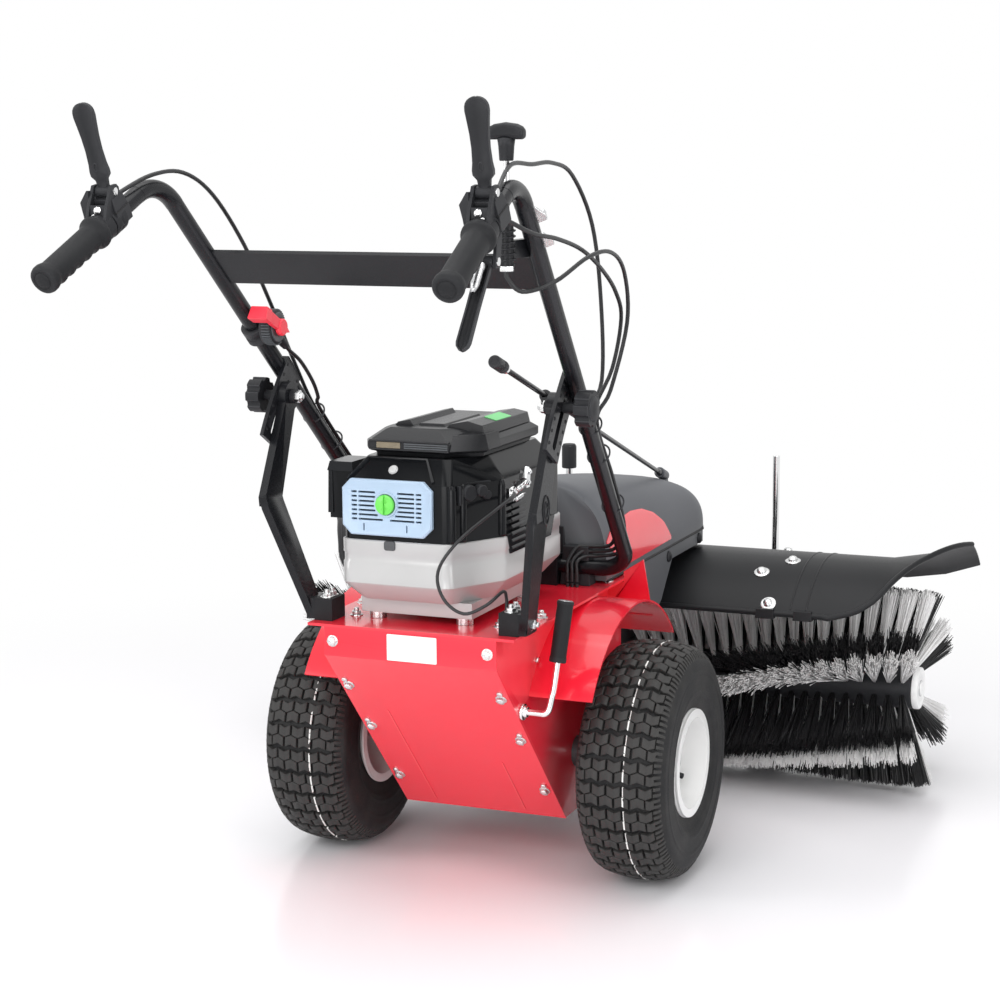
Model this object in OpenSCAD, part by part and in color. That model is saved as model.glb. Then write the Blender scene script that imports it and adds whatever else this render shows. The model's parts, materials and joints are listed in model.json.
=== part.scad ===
// Walk-behind power brush sweeper: two driven wheels, an engine on a red deck, a height-adjustable
// handlebar, and a swivelling brush head that rolls on two casters.
// X is the machine's right, Y is forward, Z is up. Sizes are in millimetres.

/* [Wheels] */
// Outer diameter of the drive tyres
tyre_d = 381; // [360:1:400]
// Width of the drive tyres
tyre_w = 146; // [130:1:152]
// Distance between the centres of the two drive tyres
track = 538; // [530:1:570]
// Bead diameter of the rims
rim_d = 152; // [140:1:160]
// Diameter of the drive axle
axle_d = 25; // [20:1:30]

/* [Chassis] */
// Width of the chassis box across its side plates
chassis_w = 280; // [276:1:290]
// Thickness of the chassis sheet
plate_t = 4; // [3:0.5:5]
// Height of the deck above the ground
deck_z = 448; // [444:1:456]
// Width of the deck
deck_w = 336; // [330:1:344]
// Distance of the deck's rear edge behind the axle
deck_rear = 336; // [330:1:345]
// Distance of the chassis front wall ahead of the axle
deck_front = 215; // [205:1:225]
// Height of the chassis belly above the ground
belly_z = 93; // [80:1:110]
// Radius of the fender arches
fender_r = 252; // [246:1:253]
// Width of each fender
fender_w = 102; // [80:1:120]
// Thickness of the fender sheet
fender_t = 3; // [2:0.5:4]

/* [Engine] */
// Width of the engine shrouds
engine_w = 230; // [220:1:240]
// Length of the engine shrouds
engine_l = 340; // [330:1:344]
// Height of the silver lower shroud
base_h = 94; // [88:1:100]
// Height of the black upper shroud
shroud_h = 122; // [114:1:132]
// Wall of the shrouds
shroud_t = 4; // [3:0.5:5]
// Diameter of the crankshaft
crank_d = 20; // [16:1:22]
// Width of the grille panel
grille_w = 146; // [130:1:150]
// Height of the grille panel
grille_h = 84; // [76:1:90]
// Diameter of the quarter-turn knob
filter_knob_d = 38; // [30:1:42]

/* [Drive] */
// Outer diameter of the engine pulley
engine_pulley_d = 60; // [54:1:66]
// Outer diameter of the driven pulley
drive_pulley_d = 76; // [70:1:78]
// Diameter of the drive shaft
drive_shaft_d = 20; // [16:1:22]
// Diameter of the upright shaft through the swivel
upright_shaft_d = 20; // [16:1:24]
// Width of the neck beam
neck_w = 120; // [112:1:140]
// Thickness of the neck beam
neck_t = 10; // [8:0.5:12]

/* [Hood] */
// Width of the hood
hood_w = 314; // [300:1:320]
// Distance of the hood's rear edge ahead of the axle
hood_rear = 95; // [93:1:100]
// Distance of the hood's nose ahead of the axle
hood_nose = 735; // [725:1:750]
// Height of the hood's rear top above the ground
hood_top = 612; // [608:1:630]
// Wall of the hood
hood_t = 3.5; // [2.5:0.5:4]

/* [Handlebar] */
// Diameter of the handlebar tube
tube_d = 25; // [22:1:26]
// Wall of the handlebar tube
tube_wall = 2.5; // [1.5:0.5:3]
// Half the spread of the tube at the foot
foot_half = 204; // [200:1:208]
// Half the spread of the tube at the top bend
bend_half = 267; // [260:1:272]
// Height of the grip ends above the ground
grip_end_z = 991; // [970:1:1010]
// Distance of the grip ends behind the axle
grip_end_y = 820; // [810:1:830]
// Length of the grips
grip_l = 128; // [110:1:130]
// Diameter of the grips
grip_d = 37; // [34:1:40]
// Height of the cross plate, measured along the tubes
crossbar_h = 65; // [50:1:76]
// Diameter of the clamp studs at the uprights
stud_d = 12; // [8:1:12]
// Diameter of the clamp knobs
clamp_knob_d = 54; // [44:1:56]

/* [Brush head] */
// Diameter of the brush over its bristle tips
brush_d = 370; // [350:1:372]
// Height of the brush shaft above the ground
brush_z = 187; // [186:1:196]
// Distance of the swivel axis ahead of the axle
swivel_y = 615; // [605:1:625]
// Length of each brush half
brush_l = 512; // [480:1:520]
// Diameter of the brush core
core_d = 76; // [66:1:84]
// Diameter of the brush shaft
brush_shaft_d = 30; // [24:1:34]
// Width of the space between the brush halves
brush_gap = 96; // [92:1:110]
// Clearance between bristle tips and cover
cover_gap = 47; // [40:1:50]
// Thickness of the cover sheet
cover_t = 3; // [2:0.5:4]
// Half width of the cover at its rear edge
cover_rear_half = 430; // [410:1:460]
// Half width of the cover at its flared corners
cover_half = 640; // [630:1:660]

/* [Casters] */
// Diameter of the caster wheels
caster_d = 150; // [130:1:160]
// Width of the caster wheels
caster_w = 44; // [36:1:50]
// Distance between the two caster posts
caster_track = 434; // [400:1:460]
// Distance of the caster posts ahead of the axle
caster_y = 915; // [908:1:930]
// Diameter of the caster posts
post_d = 14; // [12:1:16]
// Height of the tops of the caster posts
post_top = 552; // [500:1:600]
// Distance from post to caster wheel axle
caster_trail = 45; // [36:1:50]

/* [Fits] */
// Radial clearance of turning and sliding fits
run_fit = 0.05; // [0.02:0.01:0.1]
// Clearance between faces that pass each other
face_gap = 0.4; // [0.3:0.1:0.6]

/* [Hidden] */
$fn = 48;

// Colours
red = "#d8182c";
black = "#1b1b1d";
dark_grey = "#4a4c50";
steel = "#b9bcc0";
silver = "#cfcac8";
white = "#f2f2f0";
rubber = "#232426";
pale_blue = "#bcd3ea";
lime = "#6cd84a";
signal_red = "#f0404c";

// Wheels
axle_z = tyre_d / 2;
axle_r = axle_d / 2;
wheel_x = track / 2;
bead_r = rim_d / 2;
rim_flange = 10;
tyre_skin = 11;
rim_wall = 4;

// Chassis
half_w = chassis_w / 2;
deck_under = deck_z - plate_t;
kink_z = deck_z - 47;
panel_foot_y = -49;
belly_front = 120;
chin_z = 300;
flange_w = 28;
bolt_r = 4;
bolt_head_r = 7.5;
bolt_head_h = 5.5;
panel_t = 3;
panel_bolt_x = half_w - 14;

// Engine
engine_x = -5;
engine_rear = -320;
engine_front = engine_rear + engine_l;
spacer_h = 12;
plinth_h = 24;
base_z = deck_z + spacer_h + plinth_h;
seam_z = base_z + base_h;
shroud_top = seam_z + shroud_h;
crank_z = seam_z - 7;
crank_r = crank_d / 2;
corner_r = 18;
grille_x = engine_x - 34;
grille_z = seam_z + 50;
grille_t = 8;

// Drive line
pulley_y = hood_rear + 27;
pulley_w = 18;
belt_w = 10;
belt_h = 8;
groove_side = (pulley_w - belt_w) / 2 - face_gap;
drive_z = deck_z + 44;
drive_r = drive_shaft_d / 2;
neck_top = deck_z + neck_t;
neck_front = swivel_y + 66;
neck_rear = 160;
swivel_r = 45;
pinion_r = 18;
bevel_r = 36;
upright_r = upright_shaft_d / 2;

// Hood
hood_seam = deck_z + 4;
hood_half = hood_w / 2;

// Handlebar
tube_r = tube_d / 2;
pivot_y = 74;
pivot_z = deck_z + 30;
bend_y = -565;
bend_z = pivot_z + pivot_y - bend_y;
top_bend_r = 75;
foot_bend_r = 60;
stud_y = -292;
stud_z = 785;
stud_r = stud_d / 2;
swing_r = norm([stud_y - pivot_y, stud_z - pivot_z]);
stud_angle = atan2(stud_z - pivot_z, stud_y - pivot_y);
swing_up = 7.5;
swing_down = 2.5;
upright_top_x = 216;
eye_w = 13;
eye_out = upright_top_x + eye_w / 2;
sector_in = eye_out + face_gap;
sector_t = 6;
knob_x = 253;
grip_a = [bend_half + 16, -grip_end_y, grip_end_z];
bend_p = [bend_half, bend_y, bend_z];
foot_p = [foot_half, pivot_y, pivot_z];
grip_dir = (bend_p - grip_a) / norm(bend_p - grip_a);
leg_dir = (foot_p - bend_p) / norm(foot_p - bend_p);
grip_tilt = atan2(grip_dir[2], grip_dir[1]);
leg_tilt = atan2(leg_dir[1], -leg_dir[2]);
lever_pin_r = 3;
control_at = grip_a + grip_dir * (grip_l + 16);
lever_x = control_at[0];
lever_y = control_at[1] + 6;
lever_z = control_at[2] + 45;
lever_l = 104;
low_y = control_at[1] + 8;
low_z = control_at[2] - 40;

// Brush head
brush_r = brush_d / 2;
core_r = core_d / 2;
shaft_r = brush_shaft_d / 2;
cover_r = brush_r + cover_gap;
gap_half = brush_gap / 2;
housing_half = gap_half - 4;
crown_r = 42;
low_pinion_r = 14;
lip_r = 37;

// Casters
post_x = caster_track / 2;
post_r = post_d / 2;
beam_half = 20;
beam_z = 320;
caster_r = caster_d / 2;
fork_top = caster_d + 44;
fork_half = caster_w / 2 + 3;

// Overall length: the grip ends are rearmost, the caster wheels or the beam's pads are foremost.
grip_cap = 6;
pad_front = caster_y + beam_half + 5;
rear_end = grip_a[1] - grip_cap * grip_dir[1] - grip_d / 2 * sqrt(1 - grip_dir[1] * grip_dir[1]);
front_end = max(pad_front, caster_y - caster_trail + caster_r);
mid_y = (rear_end + front_end) / 2;

// Helpers
function unit(v) = v / norm(v);

// Puts the origin on the ground under the middle of the machine.
module place() { translate([0, -mid_y, 0]) children(); }

// Draws for the right side, or mirrored for the left side.
module on_side(s) {
  if (s > 0) children();
  else mirror([1, 0, 0]) children();
}

module both_sides() {
  on_side(1) children();
  on_side(-1) children();
}

module rod_x(r, x0, x1, y, z) { translate([x0, y, z]) rotate([0, 90, 0]) cylinder(r = r, h = x1 - x0); }

module rod_y(r, y0, y1, x, z) { translate([x, y0, z]) rotate([-90, 0, 0]) cylinder(r = r, h = y1 - y0); }

module rod_z(r, z0, z1, x, y) { translate([x, y, z0]) cylinder(r = r, h = z1 - z0); }

module rod_between(a, b, r) {
  d = b - a;
  translate(a)
    rotate([0, acos(d[2] / norm(d)), atan2(d[1], d[0])])
      cylinder(r = r, h = norm(d));
}

module block(x0, x1, y0, y1, z0, z1) { translate([x0, y0, z0]) cube([x1 - x0, y1 - y0, z1 - z0]); }

// Extrudes a side view, drawn as (Y, Z), along X.
module side_view(x0, x1) { translate([x0, 0, 0]) rotate([90, 0, 90]) linear_extrude(x1 - x0) children(); }

// Extrudes a front view, drawn as (X, Z), along Y.
module front_view(y0, y1) { translate([0, y1, 0]) rotate([90, 0, 0]) linear_extrude(y1 - y0) children(); }

// Turns a section, drawn as (radius, X), about an axis along X.
module turn_x(y, z, from = 0, sweep = 360) {
  translate([0, y, z])
    rotate([90, 0, 90])
      rotate([0, 0, from])
        rotate_extrude(angle = sweep) children();
}

// Two circles with their outer tangents, the second at distance l along +Y.
module tapered(r1, r2, l) {
  t = asin((r1 - r2) / l);
  circle(r1);
  translate([0, l]) circle(r2);
  polygon([
    [r1 * cos(t), r1 * sin(t)], [r2 * cos(t), l + r2 * sin(t)],
    [-r2 * cos(t), l + r2 * sin(t)], [-r1 * cos(t), r1 * sin(t)]
  ]);
}

// One straight length of tube between two points.
module tube_run(a, b, r, wall) {
  d = b - a;
  translate(a)
    rotate([0, acos(d[2] / norm(d)), atan2(d[1], d[0])])
      linear_extrude(norm(d))
        difference() {
          circle(r);
          circle(r - wall);
        }
}

// A tube bend at corner p, between the directions to a and to b. It is thicker by a small step,
// so the straight lengths end inside it.
bend_step = 0.3;
bend_lap = 3;
module tube_bend(a, p, b, bend_r, r, wall) {
  u = unit(p - a);
  v = unit(b - p);
  turn = acos(u * v);
  n = unit(cross(u, v));
  start = p - u * bend_r * tan(turn / 2);
  inward = cross(n, u);
  centre = start + inward * bend_r;
  e1 = -inward;
  e2 = cross(n, e1);
  multmatrix([
    [e1[0], e2[0], n[0], centre[0]], [e1[1], e2[1], n[1], centre[1]],
    [e1[2], e2[2], n[2], centre[2]], [0, 0, 0, 1]
  ])
    rotate_extrude(angle = turn)
      translate([bend_r, 0])
        difference() {
          circle(r + bend_step);
          circle(r - wall - bend_step);
        }
}

function bend_set(a, p, b, bend_r) = bend_r * tan(acos(unit(p - a) * unit(b - p)) / 2) - bend_lap;

// A bent tube along corner points, with a bend radius for each inner corner.
module bent_tube(pts, radii, r, wall) {
  last = len(pts) - 1;
  set = [for (i = [0:last]) i == 0 || i == last ? 0 : bend_set(pts[i - 1], pts[i], pts[i + 1], radii[i])];
  for (i = [0:last - 1]) {
    u = unit(pts[i + 1] - pts[i]);
    tube_run(pts[i] + u * set[i], pts[i + 1] - u * set[i + 1], r, wall);
  }
  for (i = [1:last - 1]) tube_bend(pts[i - 1], pts[i], pts[i + 1], radii[i], r, wall);
}

// Points of a smooth curve through hand-chosen route points.
function spline(a, b, c, d, t) =
  0.5 * (2 * b + (c - a) * t + (2 * a - 5 * b + 4 * c - d) * t * t + (3 * b - a - 3 * c + d) * t * t * t);
function smooth(p, steps) = [
  for (i = [0:len(p) - 2], k = [0:steps - 1])
    spline(p[max(i - 1, 0)], p[i], p[i + 1], p[min(i + 2, len(p) - 1)], k / steps),
  p[len(p) - 1]
];

// A cable swept along a route as one skin.
cable_sides = 8;
function cable_dir(q, i) = unit(q[min(i + 1, len(q) - 1)] - q[max(i - 1, 0)]);
function cable_ring(q, i, r) =
  let (d = cable_dir(q, i), e = unit(cross(d, [0.9, 0.35, 0.26])), f = cross(d, e))
  [for (k = [0:cable_sides - 1]) q[i] + r * (e * cos(k * 360 / cable_sides) + f * sin(k * 360 / cable_sides))];
module cable(route, r, steps = 3) {
  q = smooth(route, steps);
  n = len(q);
  s = cable_sides;
  pts = [for (i = [0:n - 1]) each cable_ring(q, i, r)];
  sides = [
    for (i = [0:n - 2], k = [0:s - 1]) each [
      [i * s + k, (i + 1) * s + k, i * s + (k + 1) % s],
      [i * s + (k + 1) % s, (i + 1) * s + k, (i + 1) * s + (k + 1) % s]
    ]
  ];
  first = [for (k = [1:s - 2]) [0, k, k + 1]];
  end = [for (k = [1:s - 2]) [(n - 1) * s, (n - 1) * s + k + 1, (n - 1) * s + k]];
  polyhedron(points = pts, faces = concat(sides, first, end), convexity = 4);
}

// A hexagon bolt along +Z with its seat at the origin.
module hex_bolt(shank) {
  translate([0, 0, -shank]) cylinder(r = bolt_r, h = shank);
  cylinder(r = bolt_head_r * 1.15, h = 1.2);
  translate([0, 0, 1.2]) cylinder(r = bolt_head_r, h = bolt_head_h - 1.2, $fn = 6);
}

// Drive wheels
function arc(c, r, a0, a1, n) = [for (i = [0:n]) c + r * [cos(a0 + (a1 - a0) * i / n), sin(a0 + (a1 - a0) * i / n)]];
shoulder_r = 34;
function tyre_section(inset) =
  let (
    w = tyre_w / 2 - inset, top = tyre_d / 2 - inset, s = shoulder_r - inset / 2,
    crown = 5, bead_w = tyre_w / 2 - 12 - (inset > 0 ? inset : 0)
  )
  concat(
    [[bead_r + run_fit, -bead_w]],
    arc([bead_r + 44, -w + 26], 26, 230, 180 + 90, 4),
    arc([top - crown - s, -w + s], s, 270, 350, 6),
    [[top, 0]],
    arc([top - crown - s, w - s], s, 10, 90, 6),
    arc([bead_r + 44, w - 26], 26, 90, 130, 4),
    [[bead_r + run_fit, bead_w]]
  );

module tyre(s) {
  color(rubber) place() on_side(s) translate([wheel_x, 0, 0]) turn_x(0, axle_z) difference() {
    polygon(tyre_section(0));
    polygon(tyre_section(tyre_skin));
  }
}

rim_half = tyre_w / 2 - 11.5;
disc_x = 22;
module rim(s) {
  lip = bead_r + rim_flange;
  inner = bead_r - rim_wall;
  color(white) place() on_side(s) translate([wheel_x, 0, 0]) {
    // Barrel with its flanges
    turn_x(0, axle_z)
      polygon([[inner, -rim_half - 7], [lip, -rim_half - 7], [lip, -rim_half - 3], [bead_r, -rim_half],
        [bead_r, rim_half], [lip, rim_half + 3], [lip, rim_half + 7], [inner, rim_half + 7]]);
    // Dished disc with its hub
    turn_x(0, axle_z)
      polygon([[axle_r + run_fit, disc_x - 30], [axle_r + 9, disc_x - 30], [axle_r + 9, disc_x - 4],
        [axle_r + 30, disc_x - 4], [bead_r - 1, disc_x - 22], [bead_r - 1, disc_x - 17],
        [axle_r + 31, disc_x + 1], [axle_r + run_fit, disc_x + 1]]);
  }
}

hub_x = disc_x - 30 - face_gap;
axle_inner = 24;
module axle(s) {
  color(steel) place() on_side(s) {
    // Half shaft, the shoulder that the rim seats on, and the end nut
    rod_x(axle_r, axle_inner, wheel_x + disc_x + 22, 0, axle_z);
    rod_x(axle_r + 8, wheel_x + hub_x - 12, wheel_x + hub_x, 0, axle_z);
    translate([wheel_x + disc_x + 1 + face_gap, 0, axle_z])
      rotate([0, 90, 0])
        cylinder(r = axle_r + 7, h = 12, $fn = 6);
  }
}

// Chassis
rear_line = [[-deck_rear + panel_t, deck_under], [-deck_rear + panel_t, kink_z],
  [panel_foot_y + panel_t, belly_z]];
slope_dir = unit([panel_foot_y + deck_rear, belly_z - kink_z]);
slope_out = [slope_dir[1], -slope_dir[0]];

tube_r_axle = axle_r + 12;
module chassis_frame() {
  color(red) place() {
    difference() {
      union() {
        both_sides() {
          // Side plate and the inner flange that the rear panel bolts to
          side_view(half_w - plate_t, half_w)
            polygon(concat(rear_line, [[belly_front, belly_z], [deck_front, chin_z], [deck_front, deck_under]]));
          side_view(half_w - flange_w, half_w - plate_t)
            polygon([rear_line[0], rear_line[1], rear_line[2], rear_line[2] + [plate_t * 1.4, 0],
              rear_line[1] + [plate_t, plate_t / 2], rear_line[0] + [plate_t, 0]]);
        }
        // Deck, its rear lip, front wall and belly
        block(-deck_w / 2, deck_w / 2, -deck_rear, deck_front, deck_under, deck_z);
        block(-half_w + plate_t, half_w - plate_t, deck_front - plate_t, deck_front, chin_z, deck_under);
        block(-half_w + plate_t, half_w - plate_t, panel_foot_y + 2 * plate_t, belly_front, belly_z, belly_z + plate_t);
      }
      // Axle openings and the grommet holes for the control cables
      both_sides() {
        rod_x(tube_r_axle + face_gap, half_w - plate_t - 1, half_w + 1, 0, axle_z);
        for (x = cable_x) rod_z(cable_r + 0.6, deck_under - 1, deck_z + 1, x, cable_y);
        rod_x(crank_pin_r + run_fit, half_w - plate_t - 1, half_w + 1, crank_pin_y, crank_pin_z);
      }
      for (p = panel_bolts) translate([0, p[0], p[1]]) both_sides()
        translate([panel_bolt_x, 0, 0]) rotate([p[2], 0, 0]) cylinder(r = bolt_r + 0.3, h = 40, center = true);
      both_sides() for (y = mount_y) rod_z(bolt_r, deck_under - 1, deck_z + 1, mount_x, y);
    }
  }
}

// Bolt places on the rear panel as Y, Z and the tilt of the bolt.
function on_slope(t) = rear_line[1] + (rear_line[2] - rear_line[1]) * t;
slope_tilt = atan2(slope_out[1], slope_out[0]) - 90;
panel_bolts = [
  [rear_line[0][0], kink_z + 22, 90],
  for (t = [0.18, 0.45, 0.8]) [on_slope(t)[0], on_slope(t)[1], slope_tilt]
];

module rear_panel() {
  out = slope_out * panel_t;
  kink_back = -panel_t * (1 + slope_out[0]) / slope_dir[0];
  color(red) place() difference() {
    side_view(-half_w, half_w)
      polygon([
        rear_line[0] + [-panel_t, 0], rear_line[0], rear_line[1], rear_line[2],
        rear_line[2] + out, rear_line[1] + out + slope_dir * kink_back
      ]);
    for (p = panel_bolts) translate([0, p[0], p[1]]) both_sides()
      translate([panel_bolt_x, 0, 0]) rotate([p[2], 0, 0]) cylinder(r = bolt_r + 0.3, h = 40, center = true);
  }
}

fender_from = 41;
fender_sweep = 105;
// The arches' crown hangs just under the deck
fender_gap = 1.5;
fender_z = deck_under - fender_gap - fender_r;
module fender(s) {
  color(red) place() on_side(s) {
    // Arch over the tyre, and the splash wall ahead of it
    turn_x(0, fender_z, fender_from, fender_sweep)
      polygon([[fender_r - fender_t, half_w], [fender_r, half_w], [fender_r, half_w + fender_w],
        [fender_r - fender_t, half_w + fender_w]]);
    wall_y = 148;
    wall_z = fender_z + sqrt(fender_r * fender_r - wall_y * wall_y) - 6;
    front_view(wall_y, wall_y + fender_t)
      polygon([[deck_w / 2, deck_under - 2], [deck_w / 2, deck_z + 12], [deck_w / 2 + 34, deck_z + 34],
        [half_w + fender_w - 24, wall_z], [half_w, wall_z], [half_w, deck_under - 2]]);
  }
}

module transaxle() {
  color(dark_grey) place() difference() {
    union() {
      // Gear case, input tower and the axle tubes to the side plates
      block(-92, 92, -72, 72, axle_z - 58, axle_z + 62);
      rod_z(34, axle_z + 60, axle_z + 112, 0, -20);
      both_sides() {
        rod_x(tube_r_axle, 80, half_w + 10, 0, axle_z);
        rod_x(tube_r_axle + 16, half_w - plate_t - 8, half_w - plate_t, 0, axle_z);
      }
    }
    both_sides() rod_x(axle_r + run_fit, axle_inner - 4, half_w + 20, 0, axle_z);
  }
}

module chassis_bolts() {
  color(steel) place() {
    // Rear panel bolts
    both_sides() for (i = [0:len(panel_bolts) - 1]) {
      p = panel_bolts[i];
      out = i == 0 ? [-1, 0] : slope_out;
      translate([panel_bolt_x, p[0] + out[0] * panel_t, p[1] + out[1] * panel_t])
        rotate([i == 0 ? 90 : slope_tilt, 0, 0])
          hex_bolt(panel_t + plate_t + 6);
    }
    // Bolts that hold the rubber blocks to the deck
    both_sides() for (y = mount_y)
      translate([mount_x, y, deck_z + block_h]) hex_bolt(block_h + plate_t + 4);
  }
}

// Rubber blocks at the feet of the uprights
block_half_w = 15;
mount_x = deck_w / 2 - block_half_w - 2;
mount_mid = -295;
mount_y = [mount_mid - 9, mount_mid + 9];
block_h = 34;
module mount_blocks() {
  color(rubber) place() both_sides() difference() {
    block(mount_x - block_half_w, mount_x + block_half_w, mount_y[0] - 13, mount_y[1] + 13, deck_z, deck_z + block_h);
    for (y = mount_y) rod_z(bolt_r + 0.1, deck_z - 1, deck_z + block_h + 1, mount_x, y);
  }
}

// Engine
function engine_plan(inset) = [
  [engine_x - engine_w / 2 + inset, engine_rear + inset],
  [engine_x + engine_w * 0.26 - inset * 0.4, engine_rear + inset],
  [engine_x + engine_w / 2 - inset, engine_rear + engine_w * 0.42 + inset * 0.2],
  [engine_x + engine_w / 2 - inset, engine_front - inset],
  [engine_x - engine_w / 2 + inset, engine_front - inset]
];

module plan_posts(inset, r, z0, z1) {
  for (p = engine_plan(inset + r)) rod_z(r, z0, z1, p[0], p[1], $fn = 32);
}

module engine_mounts() {
  color(steel) place() for (x = [-80, 64], y = [-262, -40])
    rod_z(13, deck_z, deck_z + spacer_h, engine_x + x, y);
}

block_half = 58;
module engine_block() {
  color(silver) place() difference() {
    union() {
      // Sump plate, crankcase, finned cylinder and the crank boss
      block(engine_x - 98, engine_x + 84, -282, -18, deck_z + spacer_h, base_z);
      block(engine_x - block_half, engine_x + block_half, -250, -30, base_z - 2, seam_z + 32);
      rod_z(46, seam_z + 22, shroud_top - 22, engine_x, -170);
      for (z = [seam_z + 38:11:shroud_top - 30]) rod_z(56, z, z + 4, engine_x, -170);
      rod_y(crank_r + 4, -40, engine_front - 14, 0, crank_z);
    }
    rod_y(crank_r + run_fit, -120, engine_front, 0, crank_z);
  }
}

crank_clear = 6;
module engine_base_shroud() {
  color(silver) place() difference() {
    hull() {
      plan_posts(0, corner_r, base_z + 26, seam_z);
      plan_posts(20, corner_r, base_z, base_z + 1);
    }
    hull() plan_posts(24, corner_r - shroud_t, base_z - 1, seam_z + 1);
    rod_y(crank_r + crank_clear, engine_front - 50, engine_front + 5, 0, crank_z);
  }
}

module engine_shroud() {
  color(black) place() difference() {
    union() {
      hull() {
        plan_posts(3, corner_r, seam_z, shroud_top - 36);
        plan_posts(30, corner_r, shroud_top - 1, shroud_top);
      }
      // Filter box on the left flank
      block(engine_x - engine_w / 2 - 26, engine_x - engine_w / 2 + 12, -296, -232, seam_z + 26, seam_z + 104);
    }
    hull() {
      plan_posts(3 + shroud_t, corner_r, seam_z - 1, shroud_top - 40);
      plan_posts(30 + shroud_t, corner_r, shroud_top - 6, shroud_top - 5);
    }
    // Crankshaft opening and the knob's hole
    rod_y(crank_r + crank_clear, engine_front - 50, engine_front + 5, 0, crank_z);
    rod_y(knob_stem_r + run_fit, engine_rear - 10, engine_rear + 40, grille_x, grille_z + 6);
  }
}

module engine_lid() {
  lid_z = shroud_top;
  color(black) place() {
    block(engine_x - 76, engine_x + 76, -272, -30, lid_z, lid_z + 10);
    hull() {
      block(engine_x - 92, engine_x + 96, -286, -10, lid_z + 10, lid_z + 24);
      block(engine_x - 70, engine_x + 66, -262, -40, lid_z + 24, lid_z + 44);
    }
    hull() {
      block(engine_x - 20, engine_x + 50, -240, -70, lid_z + 43, lid_z + 44);
      block(engine_x - 6, engine_x + 40, -220, -130, lid_z + 51, lid_z + 52);
    }
  }
}

knob_stem_r = 10;
slot_rows = 6;
module grille_panel() {
  cut = 14;
  pitch = 6.5;
  color(pale_blue) place() difference() {
    front_view(engine_rear - grille_t + 3, engine_rear + 3)
      translate([grille_x, grille_z])
        polygon([
          [-grille_w / 2, -grille_h / 2 + cut], [-grille_w / 2 + cut, -grille_h / 2],
          [grille_w / 2 - cut, -grille_h / 2], [grille_w / 2, -grille_h / 2 + cut],
          [grille_w / 2, grille_h / 2 - cut], [grille_w / 2 - cut, grille_h / 2],
          [-grille_w / 2 + cut, grille_h / 2], [-grille_w / 2, grille_h / 2 - cut]
        ]);
    for (s = [-1, 1], k = [0:slot_rows - 1]) {
      x = grille_x + s * grille_w * 0.25;
      z = grille_z + 6 + (k - (slot_rows - 1) / 2) * pitch;
      block(x - 16, x + 16, engine_rear - grille_t, engine_rear - 1, z - 1.6, z + 1.6);
    }
    rod_y(knob_stem_r + run_fit, engine_rear - 10, engine_rear + 10, grille_x, grille_z + 6);
  }
}

module filter_knob() {
  face = engine_rear - grille_t + 3 - face_gap;
  color(lime) place() {
    rod_y(knob_stem_r, face - 1, engine_rear + 20, grille_x, grille_z + 6);
    difference() {
      rod_y(filter_knob_d / 2, face - 8, face, grille_x, grille_z + 6);
      block(grille_x - 2, grille_x + 2, face - 9, face - 5, grille_z - filter_knob_d, grille_z + filter_knob_d);
    }
  }
}

// Pulley section as (radius, X) with a groove for the flat-sided belt.
module pulley_section(r, bore) {
  polygon([[bore, 0], [r, 0], [r, groove_side], [r - belt_h - face_gap, groove_side],
    [r - belt_h - face_gap, pulley_w - groove_side], [r, pulley_w - groove_side], [r, pulley_w], [bore, pulley_w]]);
}

module pulley(r, shaft, z) {
  translate([0, pulley_y + pulley_w / 2, z])
    rotate([90, 0, 0])
      rotate_extrude() pulley_section(r, shaft - 1);
}

module crankshaft() {
  color(steel) place() {
    rod_y(crank_r, -110, pulley_y + pulley_w / 2 + 6, 0, crank_z);
    pulley(engine_pulley_d / 2, crank_r, crank_z);
  }
}

module drive_belt() {
  r1 = drive_pulley_d / 2;
  r2 = engine_pulley_d / 2;
  color(rubber) place() front_view(pulley_y - belt_w / 2, pulley_y + belt_w / 2)
    translate([0, drive_z])
      difference() {
        tapered(r1, r2, crank_z - drive_z);
        tapered(r1 - belt_h, r2 - belt_h, crank_z - drive_z);
      }
}

bearing_y = [250, 480];
bearing_w = 28;
module drive_shaft() {
  color(steel) place() {
    rod_y(drive_r, pulley_y - 20, swivel_y - bevel_r - 8, 0, drive_z);
    pulley(drive_pulley_d / 2, drive_r, drive_z);
    // Bevel pinion
    translate([0, swivel_y - bevel_r - 8, drive_z])
      rotate([-90, 0, 0])
        cylinder(r1 = pinion_r - 1, r2 = pinion_r - 8, h = 14);
  }
}

module neck_beam() {
  color(black) place() difference() {
    union() {
      // Beam on the deck, hood brackets, bearing blocks and the swivel ring
      block(-neck_w / 2, neck_w / 2, neck_rear, neck_front, deck_z, neck_top);
      block(-hood_half + hood_t, hood_half - hood_t, 420, 450, deck_z - 14, deck_z);
      block(-neck_w / 2, neck_w / 2, 420, 450, deck_z - 14, deck_z + 1);
      for (y = bearing_y) block(-24, 24, y - bearing_w / 2, y + bearing_w / 2, neck_top - 1, drive_z + drive_r + 14);
      rod_z(swivel_r + 16, deck_z - 8, neck_top, 0, swivel_y);
    }
    rod_y(drive_r + run_fit, neck_rear, swivel_y, 0, drive_z);
    rod_z(swivel_r + run_fit, deck_z - 20, neck_top + 1, 0, swivel_y);
  }
}

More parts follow.
